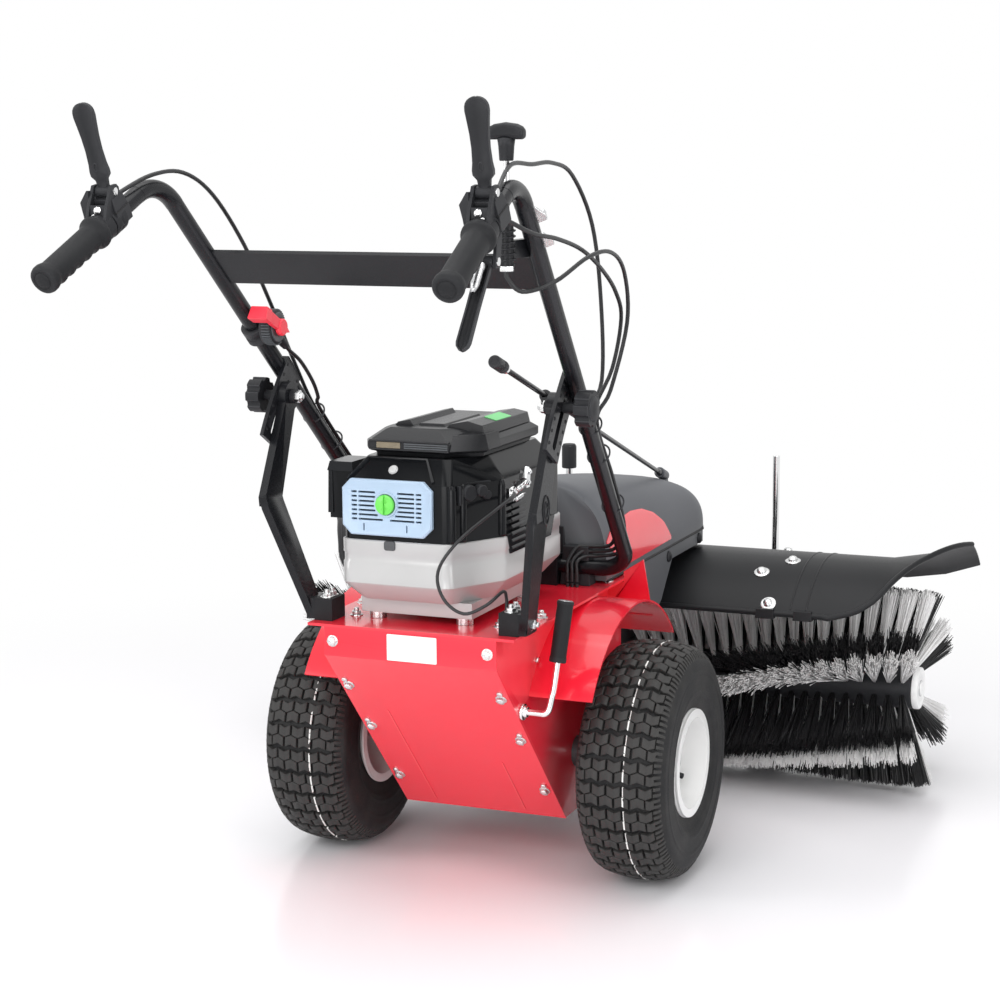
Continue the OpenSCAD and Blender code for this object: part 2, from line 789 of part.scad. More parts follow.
gear_case_z = neck_top + 9;
module top_gearbox() {
  inner = bevel_r + 5;
  color(dark_grey) place() difference() {
    block(-inner - 5, inner + 5, swivel_y - inner - 28, swivel_y + inner + 5, neck_top, drive_z + 22);
    // Gear chamber, swivel collar recess and the drive shaft's bore
    block(-inner, inner, swivel_y - inner - 8, swivel_y + inner, gear_case_z, drive_z + 18.5);
    rod_z(swivel_r + 8 + face_gap, neck_top - 1, gear_case_z + 1, 0, swivel_y);
    rod_y(drive_r + run_fit, swivel_y - inner - 40, swivel_y, 0, drive_z);
  }
}

module upright_shaft() {
  color(steel) place() {
    rod_z(upright_r, brush_z + crown_r + 2, drive_z - 12, 0, swivel_y);
    // Upper bevel gear and lower pinion
    translate([0, swivel_y, drive_z - pinion_r - 6]) cylinder(r1 = bevel_r, r2 = bevel_r - 12, h = 6);
    translate([0, swivel_y, brush_z + crown_r - 12]) cylinder(r1 = low_pinion_r - 6, r2 = low_pinion_r - 1, h = 15);
  }
}

// Hood
module hood_form(inset) {
  h = hood_half - inset;
  hull() {
    // Base outline on the seam
    for (s = [-1, 1]) {
      block(s > 0 ? h - 10 : -h, s > 0 ? h : -h + 10, hood_rear + inset, hood_rear + 20, hood_seam, hood_seam + 4);
      rod_z(44, hood_seam, hood_seam + 10, s * (h - 50), hood_nose - inset - 90, $fn = 32);
      rod_z(44, hood_seam, hood_seam + 6, s * (h - 90), hood_nose - inset - 44, $fn = 32);
      // Crown: high at the rear, low at the nose
      translate([s * (hood_half - 72), hood_rear + inset + 2, hood_top - 46 - inset])
        rotate([-90, 0, 0]) cylinder(r = 46, h = 20, $fn = 32);
      translate([s * (hood_half - 86), hood_nose - 112 - inset, hood_top - 114 - inset])
        sphere(r = 44 - inset / 2, $fn = 32);
      translate([s * (hood_half - 80), hood_nose - 190 - inset, hood_top - 100 - inset])
        sphere(r = 44 - inset / 2, $fn = 32);
    }
  }
}

rod_tip = [66, 668, 541];
rod_eye = [186, -249, 795];
rod_dir = unit(rod_eye - rod_tip);
rod_r = 4;
bush_l = 44;
module hood_upper() {
  color(dark_grey) place() difference() {
    union() {
      difference() {
        hood_form(0);
        translate([0, 0, -0.1]) hood_form(hood_t);
        // Opening for the crankshaft
        rod_y(crank_r + 8, hood_rear - 5, hood_rear + 30, 0, crank_z);
      }
      // Bush for the swivel rod on its pedestal
      rod_between(rod_tip - rod_dir * 6, rod_tip + rod_dir * bush_l, rod_r + 6);
      block(rod_tip[0] - 8, rod_tip[0] + 14, rod_tip[1] - 38, rod_tip[1] - 4, rod_tip[2] - 40, rod_tip[2]);
    }
    rod_between(rod_tip - rod_dir, rod_tip + rod_dir * 80, rod_r + run_fit);
  }
}

function hood_plan(inset) =
  let (h = hood_half - inset, n = hood_nose - inset)
  [[-h, deck_front], [h, deck_front], [h, n - 110], [h - 14, n - 70], [h - 46, n - 24], [h - 92, n],
   [-h + 92, n], [-h + 46, n - 24], [-h + 14, n - 70], [-h, n - 110]];

skirt_z = 345;
skirt_rise = 382;
module hood_skirt() {
  cover_clear = brush_z + cover_r + 9;
  color(dark_grey) place() intersection() {
    translate([0, 0, skirt_z - 10]) linear_extrude(hood_seam - skirt_z + 10) difference() {
      polygon(hood_plan(0));
      polygon(hood_plan(hood_t));
    }
    side_view(-hood_half - 1, hood_half + 1)
      polygon([[deck_front, skirt_z], [skirt_rise - 40, skirt_z], [skirt_rise, skirt_z + 20],
        [skirt_rise + 60, cover_clear], [hood_nose + 1, cover_clear], [hood_nose + 1, hood_seam],
        [deck_front, hood_seam]]);
  }
}

// Handlebar
function flip(p) = [-p[0], p[1], p[2]];
tube_points = [grip_a, bend_p, foot_p, flip(foot_p), flip(bend_p), flip(grip_a)];

// The point on the tube's leg at a given height.
function on_leg(z) = bend_p + leg_dir * ((z - bend_p[2]) / leg_dir[2]);

crossbar_z = 987;
sector_half_h = 26;
lug_w = 18;
module handlebar_frame() {
  bar_r = on_leg(crossbar_z);
  color(black) place() difference() {
    union() {
      bent_tube(tube_points, [0, top_bend_r, foot_bend_r, foot_bend_r, top_bend_r, 0], tube_r, tube_wall);
      // Cross plate, set in line with the tubes
      translate([0, bar_r[1], bar_r[2]])
        rotate([leg_tilt, 0, 0])
          cube([2 * bar_r[0] - tube_d + 8, 6, crossbar_h], center = true);
      both_sides() {
        // Lug that joins the sector plate to the tube
        translate([sector_in, 0, 0]) turn_x(pivot_y, pivot_z, stud_angle - swing_up + 1, 2.5)
          polygon([[swing_r - sector_half_h, 0], [swing_r + sector_half_h, 0], [swing_r + sector_half_h, lug_w],
            [swing_r - sector_half_h, lug_w]]);
        // Slotted sector plate beside the upright's eye
        difference() {
          translate([sector_in, 0, 0]) turn_x(pivot_y, pivot_z, stud_angle - swing_up + 1, swing_up * 2 + 1)
            polygon([[swing_r - sector_half_h, 0], [swing_r + sector_half_h, 0],
              [swing_r + sector_half_h, sector_t], [swing_r - sector_half_h, sector_t]]);
          translate([sector_in - 1, 0, 0]) turn_x(pivot_y, pivot_z, stud_angle - swing_down, swing_up + swing_down)
            polygon([[swing_r - stud_r - face_gap, 0], [swing_r + stud_r + face_gap, 0],
              [swing_r + stud_r + face_gap, sector_t + 2], [swing_r - stud_r - face_gap, sector_t + 2]]);
          for (a = [-swing_down, swing_up])
            rod_x(stud_r + face_gap, sector_in - 1, sector_in + sector_t + 1,
              pivot_y + swing_r * cos(stud_angle + a), pivot_z + swing_r * sin(stud_angle + a));
        }
      }
      // Guide for the pull handle, with its arm to the right tube
      rod_z(t_rod_r + 5, t_guide_z, t_guide_z + 56, t_x, t_y);
      block(t_x - 4, t_x + 10, t_y, on_leg(t_guide_z + 20)[1], t_guide_z + 10, t_guide_z + 34);
    }
    rod_z(t_rod_r + run_fit, t_guide_z + 4, t_guide_z + 90, t_x, t_y);
  }
}

t_x = 240;
t_y = -530;
t_rod_r = 4;
t_guide_z = 1000;
module t_handle() {
  top = 1160;
  color(black) place() {
    rod_z(t_rod_r, t_guide_z + 5, top, t_x, t_y);
    rod_z(t_rod_r + 5, top - 22, top + 6, t_x, t_y);
    hull() for (s = [-1, 1])
      translate([t_x + s * 13, t_y, top + 16]) sphere(r = 11, $fn = 32);
  }
}

// Saddles in which the foot of the handlebar turns
saddle_x = 70;
saddle_w = 30;
module tube_saddles() {
  color(black) place() both_sides() difference() {
    block(saddle_x - saddle_w / 2, saddle_x + saddle_w / 2, pivot_y - 19, pivot_y + 19, deck_z, pivot_z + tube_r + 6);
    rod_x(tube_r + run_fit, saddle_x - saddle_w, saddle_x + saddle_w, pivot_y, pivot_z);
  }
}

// Uprights: bent arms from the rubber blocks to the clamp studs
upright_t = 13;
upright_base_x = mount_x + block_half_w;
elbow_x = upright_top_x - upright_t / 2;
elbow_z = 645;
upright_lean = atan2(elbow_x - upright_base_x, elbow_z - deck_z);
module upright(s) {
  elbow_y = stud_y - 65;
  color(black) place() on_side(s) difference() {
    union() {
      translate([upright_base_x, 0, deck_z]) rotate([0, upright_lean, 0]) translate([-upright_base_x, 0, -deck_z])
        side_view(upright_base_x + 0.2, upright_base_x + upright_t - 0.6)
          polygon([[mount_mid - 17, deck_z + 4], [mount_mid + 17, deck_z + 4], [elbow_y + 27, elbow_z - 8], [elbow_y + 25, elbow_z + 12],
            [elbow_y - 24, elbow_z + 6], [elbow_y - 22, elbow_z - 14]]);
      side_view(elbow_x + 0.2, elbow_x + upright_t - 0.6)
        polygon([[elbow_y + 27, elbow_z - 12], [stud_y + 15, stud_z - 4], [stud_y - 15, stud_z + 4],
          [elbow_y - 24, elbow_z - 2], [elbow_y - 22, elbow_z - 16]]);
      rod_x(22, upright_top_x - eye_w / 2, eye_out, stud_y, stud_z);
      // Foot plate against the rubber block
      block(upright_base_x, upright_base_x + upright_t, mount_mid - 22, mount_mid + 22, deck_z + 2, deck_z + block_h);
      if (s > 0) {
        // Eye for the swivel rod
        rod_between(rod_eye - rod_dir * 8, rod_eye + rod_dir * 8, rod_r + 5);
        block(rod_eye[0] + 2, upright_top_x + 2, rod_eye[1] - 28, rod_eye[1] + 6, rod_eye[2] - 14, rod_eye[2] + 2);
      }
    }
    rod_x(stud_r + run_fit, upright_top_x - eye_w, eye_out + 1, stud_y, stud_z);
    rod_x(stud_r + 6, upright_top_x - 2 * eye_w, upright_top_x - eye_w / 2, stud_y, stud_z);
    if (s > 0) rod_between(rod_eye - rod_dir * 60, rod_eye + rod_dir * 60, rod_r + run_fit);
  }
}

module clamp_knob(s) {
  lobes = 7;
  hub_in = sector_in + sector_t + face_gap;
  color(black) place() on_side(s) {
    rod_x(stud_r, upright_top_x - eye_w / 2 - 8, knob_x + 4, stud_y, stud_z);
    rod_x(stud_r + 2, hub_in, knob_x + 4, stud_y, stud_z);
    rod_x(stud_r + 5, upright_top_x - eye_w / 2 - 8, upright_top_x - eye_w / 2 - face_gap, stud_y, stud_z);
    difference() {
      rod_x(clamp_knob_d / 2, knob_x, knob_x + 22, stud_y, stud_z);
      for (k = [0:lobes - 1])
        rod_x(6, knob_x - 1, knob_x + 23, stud_y + (clamp_knob_d / 2 + 2) * cos(k * 360 / lobes),
          stud_z + (clamp_knob_d / 2 + 2) * sin(k * 360 / lobes));
    }
  }
}

module grip(s) {
  from = grip_a - grip_dir * grip_cap;
  to = grip_a + grip_dir * grip_l;
  color(rubber) place() on_side(s) difference() {
    union() {
      rod_between(from, to, grip_d / 2);
      rod_between(to - grip_dir * 8, to, grip_d / 2 + 5);
      for (k = [1:6]) rod_between(from + grip_dir * k * 16, from + grip_dir * (k * 16 + 9), grip_d / 2 + 1.2);
    }
    rod_between(grip_a, to + grip_dir, tube_r + run_fit);
  }
}

// Handlebar controls: a clamp block on the tube with ears for the hand lever
control_l = 46;
ear_in = 11;
ear_t = 5;
module control(s) {
  a = grip_a + grip_dir * (grip_l + face_gap);
  b = a + grip_dir * control_l;
  color(black) place() on_side(s) difference() {
    union() {
      rod_between(a, b, tube_r + 9);
      // Switch case above the clamp
      translate([lever_x, control_at[1] + 14, control_at[2] + 20])
        rotate([grip_tilt, 0, 0])
          cube([44, 40, 40], center = true);
      for (e = [-1, 1])
        translate([lever_x + e * (ear_in + ear_t / 2), 0, 0])
          side_view(-ear_t / 2, ear_t / 2)
            polygon([[control_at[1] - 10, control_at[2] + 18], [control_at[1] + 22, control_at[2] + 26],
              [lever_y + 9, lever_z + 8], [lever_y - 9, lever_z + 8]]);
      rod_x(lever_pin_r, lever_x - ear_in - ear_t, lever_x + ear_in + ear_t, lever_y, lever_z);
      if (s > 0) {
        // Ears and pin for the lower lever
        for (e = [-1, 1])
          translate([lever_x + e * (ear_in + ear_t / 2), 0, 0])
            side_view(-ear_t / 2, ear_t / 2)
              polygon([[low_y - 8, low_z - 8], [low_y + 8, low_z - 8], [control_at[1] + 22, control_at[2] - 6],
                [control_at[1] + 6, control_at[2] - 6]]);
        rod_x(lever_pin_r, lever_x - ear_in - ear_t, lever_x + ear_in + ear_t, low_y, low_z);
      }
    }
    rod_between(a - grip_dir * 30, b + grip_dir * 30, tube_r + run_fit);
    // Room for the lever's root
    rod_x(12, lever_x - ear_in, lever_x + ear_in, lever_y, lever_z - 0.5);
    if (s > 0) rod_x(11, lever_x - ear_in, lever_x + ear_in, low_y, low_z);
  }
}

// A flat hand lever that stands up from its pin, drawn pointing along +Z.
module paddle(l, r_root, r_tip, t, out = 0) {
  difference() {
    union() {
      rod_x(8, -ear_in + face_gap, ear_in - face_gap, 0, 0);
      rotate([0, out, 0]) front_view(-t / 2, t / 2) intersection() {
        tapered(r_root, r_tip, l);
        translate([-50, 4]) square([100, l + 50]);
      }
    }
    rod_x(lever_pin_r + run_fit, -30, 30, 0, 0);
  }
}

lever_lean = 14;
lever_out = 7;
module lever(s) {
  color(black) place() on_side(s)
    translate([lever_x, lever_y, lever_z]) rotate([lever_lean, 0, 0])
      paddle(lever_l, s < 0 ? ear_in - 5 : ear_in - 2, 16, 9, s < 0 ? lever_out : 0);
}

low_lean = 37;
low_l = 122;
module lower_lever() {
  color(dark_grey) place()
    translate([lever_x, low_y, low_z]) rotate([180 - low_lean, 0, 0]) paddle(low_l, ear_in - 1, 9, 8);
}

// Throttle unit on the left tube
throttle_z = 886;
throttle_at = on_leg(throttle_z);
dial_r = 27;
dial_in = throttle_at[0] - tube_r - 22;
boot_start = throttle_at + [dial_in + 9 - throttle_at[0], 14, -6];
boot_end = throttle_at + [dial_in + 9 - throttle_at[0], 44, -26];
boot_dir = unit(boot_end - boot_start);
module throttle_body() {
  color(dark_grey) place() on_side(-1) difference() {
    union() {
      rod_between(throttle_at - leg_dir * 14, throttle_at + leg_dir * 14, tube_r + 7);
      rod_x(dial_r, dial_in, throttle_at[0] - tube_r - 2, throttle_at[1] + 6, throttle_at[2] + 6);
      rod_between(boot_start, boot_end, 8);
    }
    rod_between(throttle_at - leg_dir * 40, throttle_at + leg_dir * 40, tube_r + run_fit);
    rod_x(5 + run_fit, dial_in - 1, dial_in + 12, throttle_at[1] + 6, throttle_at[2] + 6);
  }
}

thumb_rise = 24;
module throttle_lever() {
  face = dial_in - face_gap;
  color(signal_red) place() on_side(-1) translate([0, throttle_at[1] + 6, throttle_at[2] + 6]) {
    rod_x(5, face - 4, dial_in + 10, 0, 0);
    rod_x(13, face - 9, face, 0, 0);
    rotate([-thumb_rise, 0, 0]) {
      block(face - 9, face, -46, 0, -7, 8);
      block(face - 11, face + 20, -60, -42, -8, 12);
    }
  }
}

rod_rear = rod_eye + rod_dir * 260;
module swivel_rod() {
  color(dark_grey) place() {
    rod_between(rod_tip, rod_rear, rod_r);
    rod_between(rod_rear - rod_dir * 6, rod_rear + rod_dir * 42, 9);
    // Boot where the rod enters the hood
    rod_between(rod_tip + rod_dir * (bush_l + face_gap), rod_tip + rod_dir * (bush_l + 24), 6);
  }
}

// Side crank
crank_pin_y = -236;
crank_pin_z = 314;
crank_pin_r = 7;
module side_crank() {
  knee = [deck_w / 2 + 12, crank_pin_y, crank_pin_z];
  bend = [deck_w / 2 + 20, crank_pin_y + 8, crank_pin_z + 34];
  top = [deck_w / 2 + 30, crank_pin_y + 34, crank_pin_z + 168];
  grip_from = bend + (top - bend) * 0.32;
  color(steel) place() {
    rod_x(crank_pin_r, half_w - 14, half_w + 12, crank_pin_y, crank_pin_z);
    rod_x(crank_pin_r + 6, half_w + face_gap, half_w + 9, crank_pin_y, crank_pin_z);
    rod_x(5, half_w + 8, knee[0], crank_pin_y, crank_pin_z);
    translate(knee) sphere(r = 5.6);
    rod_between(knee, bend, 5);
    translate(bend) sphere(r = 5.6);
    rod_between(bend, grip_from + (top - bend) * 0.1, 5);
    rod_between(grip_from, top, 13);
  }
}

// Control cables: round route points, from the controls along the tubes to the deck
cable_r = 3;
cable_x = [104, 112, 120];
tube_side = 12;
// A point on the front of the right tube at height z, set sideways by dx.
function beside_leg(z, dx) = on_leg(z) + [dx, tube_side, tube_side];
// The last stretch of every cable: along the tube, round its foot and down to the deck.
cable_y = pivot_y - tube_r - cable_r - 4;
function cable_foot(dx, x) = [
  beside_leg(740, dx), beside_leg(640, dx), beside_leg(550, dx - 4),
  [182 + dx, pivot_y - 8, pivot_z + 32 + (8 - dx) * 0.6], [x + 32, pivot_y + 1, pivot_z + 20 + (8 - dx) * 0.9],
  [x + 12, pivot_y - 3, pivot_z + 19 + (8 - dx) * 0.9], [x, cable_y + 3, pivot_z + 12], [x, cable_y, pivot_z - 4],
  [x, cable_y, pivot_z - 21]
];
case_normal = [0, cos(grip_tilt), sin(grip_tilt)];
case_up = [0, -sin(grip_tilt), cos(grip_tilt)];
case_centre = control_at + [0, 14, 20];
case_exit = case_centre + case_normal * 20.4 + case_up * 8;
clamp_exit = grip_a + grip_dir * (grip_l + control_l + 1.8) + [14, 0, 0] - case_up * 12;
guide_exit = [t_x, t_y, t_guide_z - 0.3];
boot_exit = boot_end + boot_dir * 0.4;
lever_cable = [case_exit, case_exit + case_normal * 14, [256, -596, 1120], [252, -520, 1122], [246, -450, 1090],
  [242, -369, 1015], [238, -296, 920], [234, -232, 826]];
pull_cable = [case_exit, case_exit + case_normal * 14, [262, -570, 1132], [255, -477, 1132], [250, -390, 1133],
  [245, -299, 1115], [240, -203, 1042], [238, -160, 930], [236, -150, 810]];
grip_cable = [clamp_exit, clamp_exit + grip_dir * 14, [300, -590, 1046], [305, -515, 1036], [305, -421, 1017],
  [300, -327, 985], [288, -236, 948], [276, -178, 905], [258, -166, 830]];
guide_cable = [guide_exit, guide_exit - [0, 0, 14], [256, -516, 966], [290, -484, 978], [314, -420, 1008],
  [318, -340, 1010], [306, -250, 976], [288, -186, 900], [262, -184, 800]];
throttle_cable = [boot_exit, boot_exit + boot_dir * 14, [215, -250, 833], [214, -215, 800], [217, -192, 774]];
module cables_handlebar() {
  color(black) place() {
    on_side(-1) {
      cable(concat(lever_cable, cable_foot(0, cable_x[1])), cable_r, 1);
      cable(concat(throttle_cable, cable_foot(-8, cable_x[0])), cable_r, 1);
    }
    cable(concat(pull_cable, cable_foot(-8, cable_x[0])), cable_r, 1);
    cable(concat(grip_cable, cable_foot(0, cable_x[1])), cable_r, 1);
    cable(concat(guide_cable, cable_foot(8, cable_x[2])), cable_r, 1);
  }
}

// Stubs from the deck to the gear case, and the loop from the engine's linkage to its rubber block
function deck_stub(x) = [[x, cable_y, pivot_z - 24], [x, cable_y, deck_z - 40], [x - 12, cable_y - 10, deck_z - 90],
  [x - 34, 30, axle_z + 120], [x - 40, 24, axle_z + 84], [x - 40, 24, axle_z + 62.4]];
engine_cable = [[engine_x + engine_w / 2 - 2.7, -206, 640], [120, -214, 640], [116, -270, 628], [84, -340, 590],
  [56, -352, 545], [64, -352, 505], [94, -348, 484], [124, -334, 496], [139, -306, 512], [140, mount_mid, 500],
  [140, mount_mid, deck_z + block_h + 0.4]];
module cables_chassis() {
  color(black) place() {
    both_sides() for (i = [0, 1]) cable(deck_stub(cable_x[i]), cable_r, 1);
    cable(deck_stub(cable_x[2]), cable_r, 1);
    cable(engine_cable, 2.5, 2);
  }
}

// Brush head
module brush_gearbox() {
  color(dark_grey) place() difference() {
    union() {
      // Swivel neck with its collar, upright column and the lower gear case
      rod_z(swivel_r, deck_z - 22, neck_top + 7, 0, swivel_y);
      rod_z(swivel_r + 6, neck_top + face_gap, neck_top + 7, 0, swivel_y);
      rod_z(swivel_r + 16, deck_z - 22, deck_z - 8 - face_gap, 0, swivel_y);
      rod_z(34, brush_z, deck_z - 20, 0, swivel_y);
      rod_x(crown_r + 14, -housing_half, housing_half, swivel_y, brush_z);
    }
    rod_z(24, brush_z, deck_z - 12, 0, swivel_y);
    rod_z(upright_r + run_fit, deck_z - 14, neck_top + 8, 0, swivel_y);
    rod_x(crown_r + 5, -housing_half + 10, housing_half - 10, swivel_y, brush_z);
    rod_x(shaft_r + run_fit, -gap_half, gap_half, swivel_y, brush_z);
  }
}

module brush_shaft() {
  end = gap_half + brush_l;
  color(black) place() {
    rod_x(shaft_r, -end - 12, end + 12, swivel_y, brush_z);
    both_sides() {
      // Core tube with its inner end wall, and the end cap
      difference() {
        rod_x(core_r - 4, gap_half - 2, end, swivel_y, brush_z);
        rod_x(core_r - 8, gap_half + 8, end + 1, swivel_y, brush_z);
      }
      rod_x(core_r - 12, end, end + 10, swivel_y, brush_z);
    }
    // Crown gear in the gear case
    translate([16, swivel_y, brush_z]) rotate([0, 90, 0]) cylinder(r1 = crown_r - 8, r2 = crown_r, h = 10);
  }
}

// Bristle strands in helical rows, fused to the sleeve that carries them
rows = 10;
per_row = 16;
strand_half = 5;
splay = 66;
module strand(x, angle, lean) {
  r0 = core_r - 3;
  tip = strand_half * 0.8;
  a = strand_half;
  translate([x, 0, 0]) rotate([angle, 0, 0])
    polyhedron(
      points = [[-a, -a, r0], [a, -a, r0], [0, a, r0],
        [lean - tip, -tip, brush_r - 0.4], [lean + tip, -tip, brush_r - 0.4], [lean, tip, brush_r - 0.4]],
      faces = [[0, 1, 2], [3, 5, 4], [0, 3, 1], [1, 3, 4], [1, 4, 2], [2, 4, 5], [2, 5, 0], [0, 5, 3]]);
}

module brush(s) {
  pitch = brush_l / rows;
  color(black) place() translate([0, swivel_y, brush_z]) resize([0, 0, 0]) on_side(s) union() {
    difference() {
      rod_x(core_r, gap_half, gap_half + brush_l, 0, 0, $fn = 24);
      rod_x((core_r - 4 + 0.2) / cos(180 / 24), gap_half - 1, gap_half + brush_l + 1, 0, 0, $fn = 24);
    }
    for (i = [0:rows - 1], k = [0:per_row - 1])
      strand(gap_half + pitch * (i + 0.5), k * 360 / per_row + i * 22.5 / 2, splay * pow((i + 0.5) / rows, 3));
  }
}

cover_from = 48;
cover_sweep = 90;
// The cut-back end of the cover in plan, from the rear edge to the flared corner.
end_curve = [[0.05, -0.74], [0.24, -0.70], [0.34, -0.65], [0.44, -0.56], [0.52, -0.43], [0.61, -0.28],
  [0.72, -0.08], [0.88, 0.15], [1, 0.38]];
function cover_end(s) = [
  for (e = end_curve) [s * (cover_rear_half + e[0] * (cover_half - cover_rear_half)), swivel_y + e[1] * cover_r]
];
module brush_cover() {
  flare = cover_half - 130;
  front_y = swivel_y + cover_r * cos(cover_from) + lip_r;
  color(black) place() difference() {
    intersection() {
      turn_x(swivel_y, brush_z, cover_from, cover_sweep)
        polygon([
          [cover_r, -flare], [cover_r, flare], [cover_r + lip_r * 0.35, flare + 70], [cover_r + lip_r, cover_half],
          [cover_r + lip_r - cover_t, cover_half], [cover_r + lip_r * 0.35 - cover_t, flare + 70],
          [cover_r - cover_t, flare], [cover_r - cover_t, -flare],
          [cover_r + lip_r * 0.35 - cover_t, -flare - 70], [cover_r + lip_r - cover_t, -cover_half],
          [cover_r + lip_r, -cover_half], [cover_r + lip_r * 0.35, -flare - 70]
        ]);
      // Plan outline: the ends are cut back towards the rear
      translate([0, 0, brush_z]) linear_extrude(400)
        polygon(concat(
          [[-cover_rear_half, swivel_y - cover_r], [cover_rear_half, swivel_y - cover_r]], cover_end(1),
          [[cover_half, front_y], [-cover_half, front_y]], [for (i = [8:-1:0]) cover_end(-1)[i]]
        ));
    }
    rod_z(34 + face_gap, brush_z, brush_z + cover_r + 50, 0, swivel_y);
  }
}

// Caster frame and casters
beam_wall = 4;
module caster_frame() {
  hole_x = 120;
  bore = beam_half - beam_wall;
  color(black) place() difference() {
    union() {
      // Arm from the gear case between the brush halves, cross beam in square tube, and post sleeves
      difference() {
        union() {
          block(-beam_half, beam_half, swivel_y + 30, caster_y, beam_z - beam_half, beam_z + beam_half);
          block(-post_x - 28, post_x + 28, caster_y - beam_half, caster_y + beam_half,
            beam_z - beam_half, beam_z + beam_half);
        }
        block(-bore, bore, swivel_y + 20, caster_y - beam_half - beam_wall, beam_z - bore, beam_z + bore);
        block(-post_x - 29, post_x + 29, caster_y - bore, caster_y + bore, beam_z - bore, beam_z + bore);
      }
      both_sides() {
        rod_z(post_r + 10, beam_z - beam_half - 14, beam_z + beam_half + 14, post_x, caster_y);
        // Mounting pads on the front of the beam
        block(hole_x - 24, hole_x + 24, caster_y + beam_half - 1, pad_front, beam_z - beam_half, beam_z + beam_half);
        rod_y(9, caster_y - beam_half + 1, caster_y + beam_half - 1, hole_x, beam_z);
      }
    }
    both_sides() {
      rod_z(post_r + run_fit, beam_z - 60, beam_z + 60, post_x, caster_y);
      rod_y(5.25, caster_y - 40, pad_front + 1, hole_x, beam_z);
    }
    // The arm is saddled on the gear case column
    rod_z(34, beam_z - 60, beam_z + 60, 0, swivel_y);
  }
}

module caster_post(s) {
  color(steel) place() on_side(s) {
    rod_z(post_r, fork_top - 27, post_top, post_x, caster_y);
    rod_z(post_r + 7, fork_top + face_gap, fork_top + 12, post_x, caster_y);
    rod_z(post_r + 3, fork_top - 34, fork_top - 26 - face_gap, post_x, caster_y);
    if (s < 0) rod_z(post_r + 7, post_top - 26, post_top, post_x, caster_y);
  }
}

module caster_fork(s) {
  axle_y = caster_y - caster_trail;
  color(black) place() on_side(s) difference() {
    union() {
      block(post_x - fork_half - 5, post_x + fork_half + 5, axle_y - 8, caster_y + 20, fork_top - 26, fork_top);
      for (e = [-1, 1])
        translate([post_x + e * (fork_half + 2.5), 0, 0])
          side_view(-2.5, 2.5)
            polygon([[axle_y - 14, caster_r - 8], [axle_y + 14, caster_r - 8], [caster_y + 20, fork_top - 20],
              [caster_y + 20, fork_top], [axle_y - 8, fork_top]]);
      rod_x(6, post_x - fork_half - 5, post_x + fork_half + 5, axle_y, caster_r);
    }
    rod_z(post_r + run_fit, fork_top - 27, fork_top + 1, post_x, caster_y);
  }
}

module caster_wheel(s) {
  w = caster_w / 2;
  color(rubber) place() on_side(s) translate([post_x, 0, 0]) turn_x(caster_y - caster_trail, caster_r)
    polygon(concat(
      [[6 + run_fit, -w], [22, -w], [26, -w + 6]],
      arc([caster_r - 12, -w + 12], 12, 270, 350, 4),
      arc([caster_r - 12, w - 12], 12, 10, 90, 4),
      [[26, w - 6], [22, w], [6 + run_fit, w]]
    ));
}

tyre(-1);  // tyre_left
tyre(1);  // tyre_right
rim(-1);  // rim_left
rim(1);  // rim_right
axle(-1);  // axle_left
axle(1);  // axle_right
chassis_frame();
rear_panel();
fender(-1);  // fender_left
fender(1);  // fender_right
transaxle();
chassis_bolts();
engine_mounts();
engine_block();
engine_base_shroud();
engine_shroud();
engine_lid();
grille_panel();
filter_knob();
crankshaft();
drive_belt();
drive_shaft();
neck_beam();
top_gearbox();
upright_shaft();
hood_upper();
hood_skirt();
handlebar_frame();
tube_saddles();
upright(-1);  // upright_left
upright(1);  // upright_right
mount_blocks();
clamp_knob(-1);  // clamp_knob_left
clamp_knob(1);  // clamp_knob_right
grip(-1);  // grip_left
grip(1);  // grip_right
control(-1);  // control_left
control(1);  // control_right
lever(-1);  // lever_left
lever(1);  // lever_right
lower_lever();
throttle_body();
throttle_lever();
t_handle();
swivel_rod();
side_crank();
cables_handlebar();
cables_chassis();
brush_gearbox();
brush_shaft();
brush(-1);  // brush_left
brush(1);  // brush_right
brush_cover();
caster_frame();
caster_post(-1);  // caster_post_left
caster_post(1);  // caster_post_right
caster_fork(-1);  // caster_fork_left
caster_fork(1);  // caster_fork_right
caster_wheel(-1);  // caster_wheel_left
caster_wheel(1);  // caster_wheel_right
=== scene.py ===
"""Looks of the walk-behind power brush sweeper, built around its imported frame.

Sizes are written in millimetres from the point on the ground under the drive axle:
X is the machine's right, Y is forward and Z is up.
"""

import json
import math

import bmesh
import bpy
from mathutils import Matrix, Vector

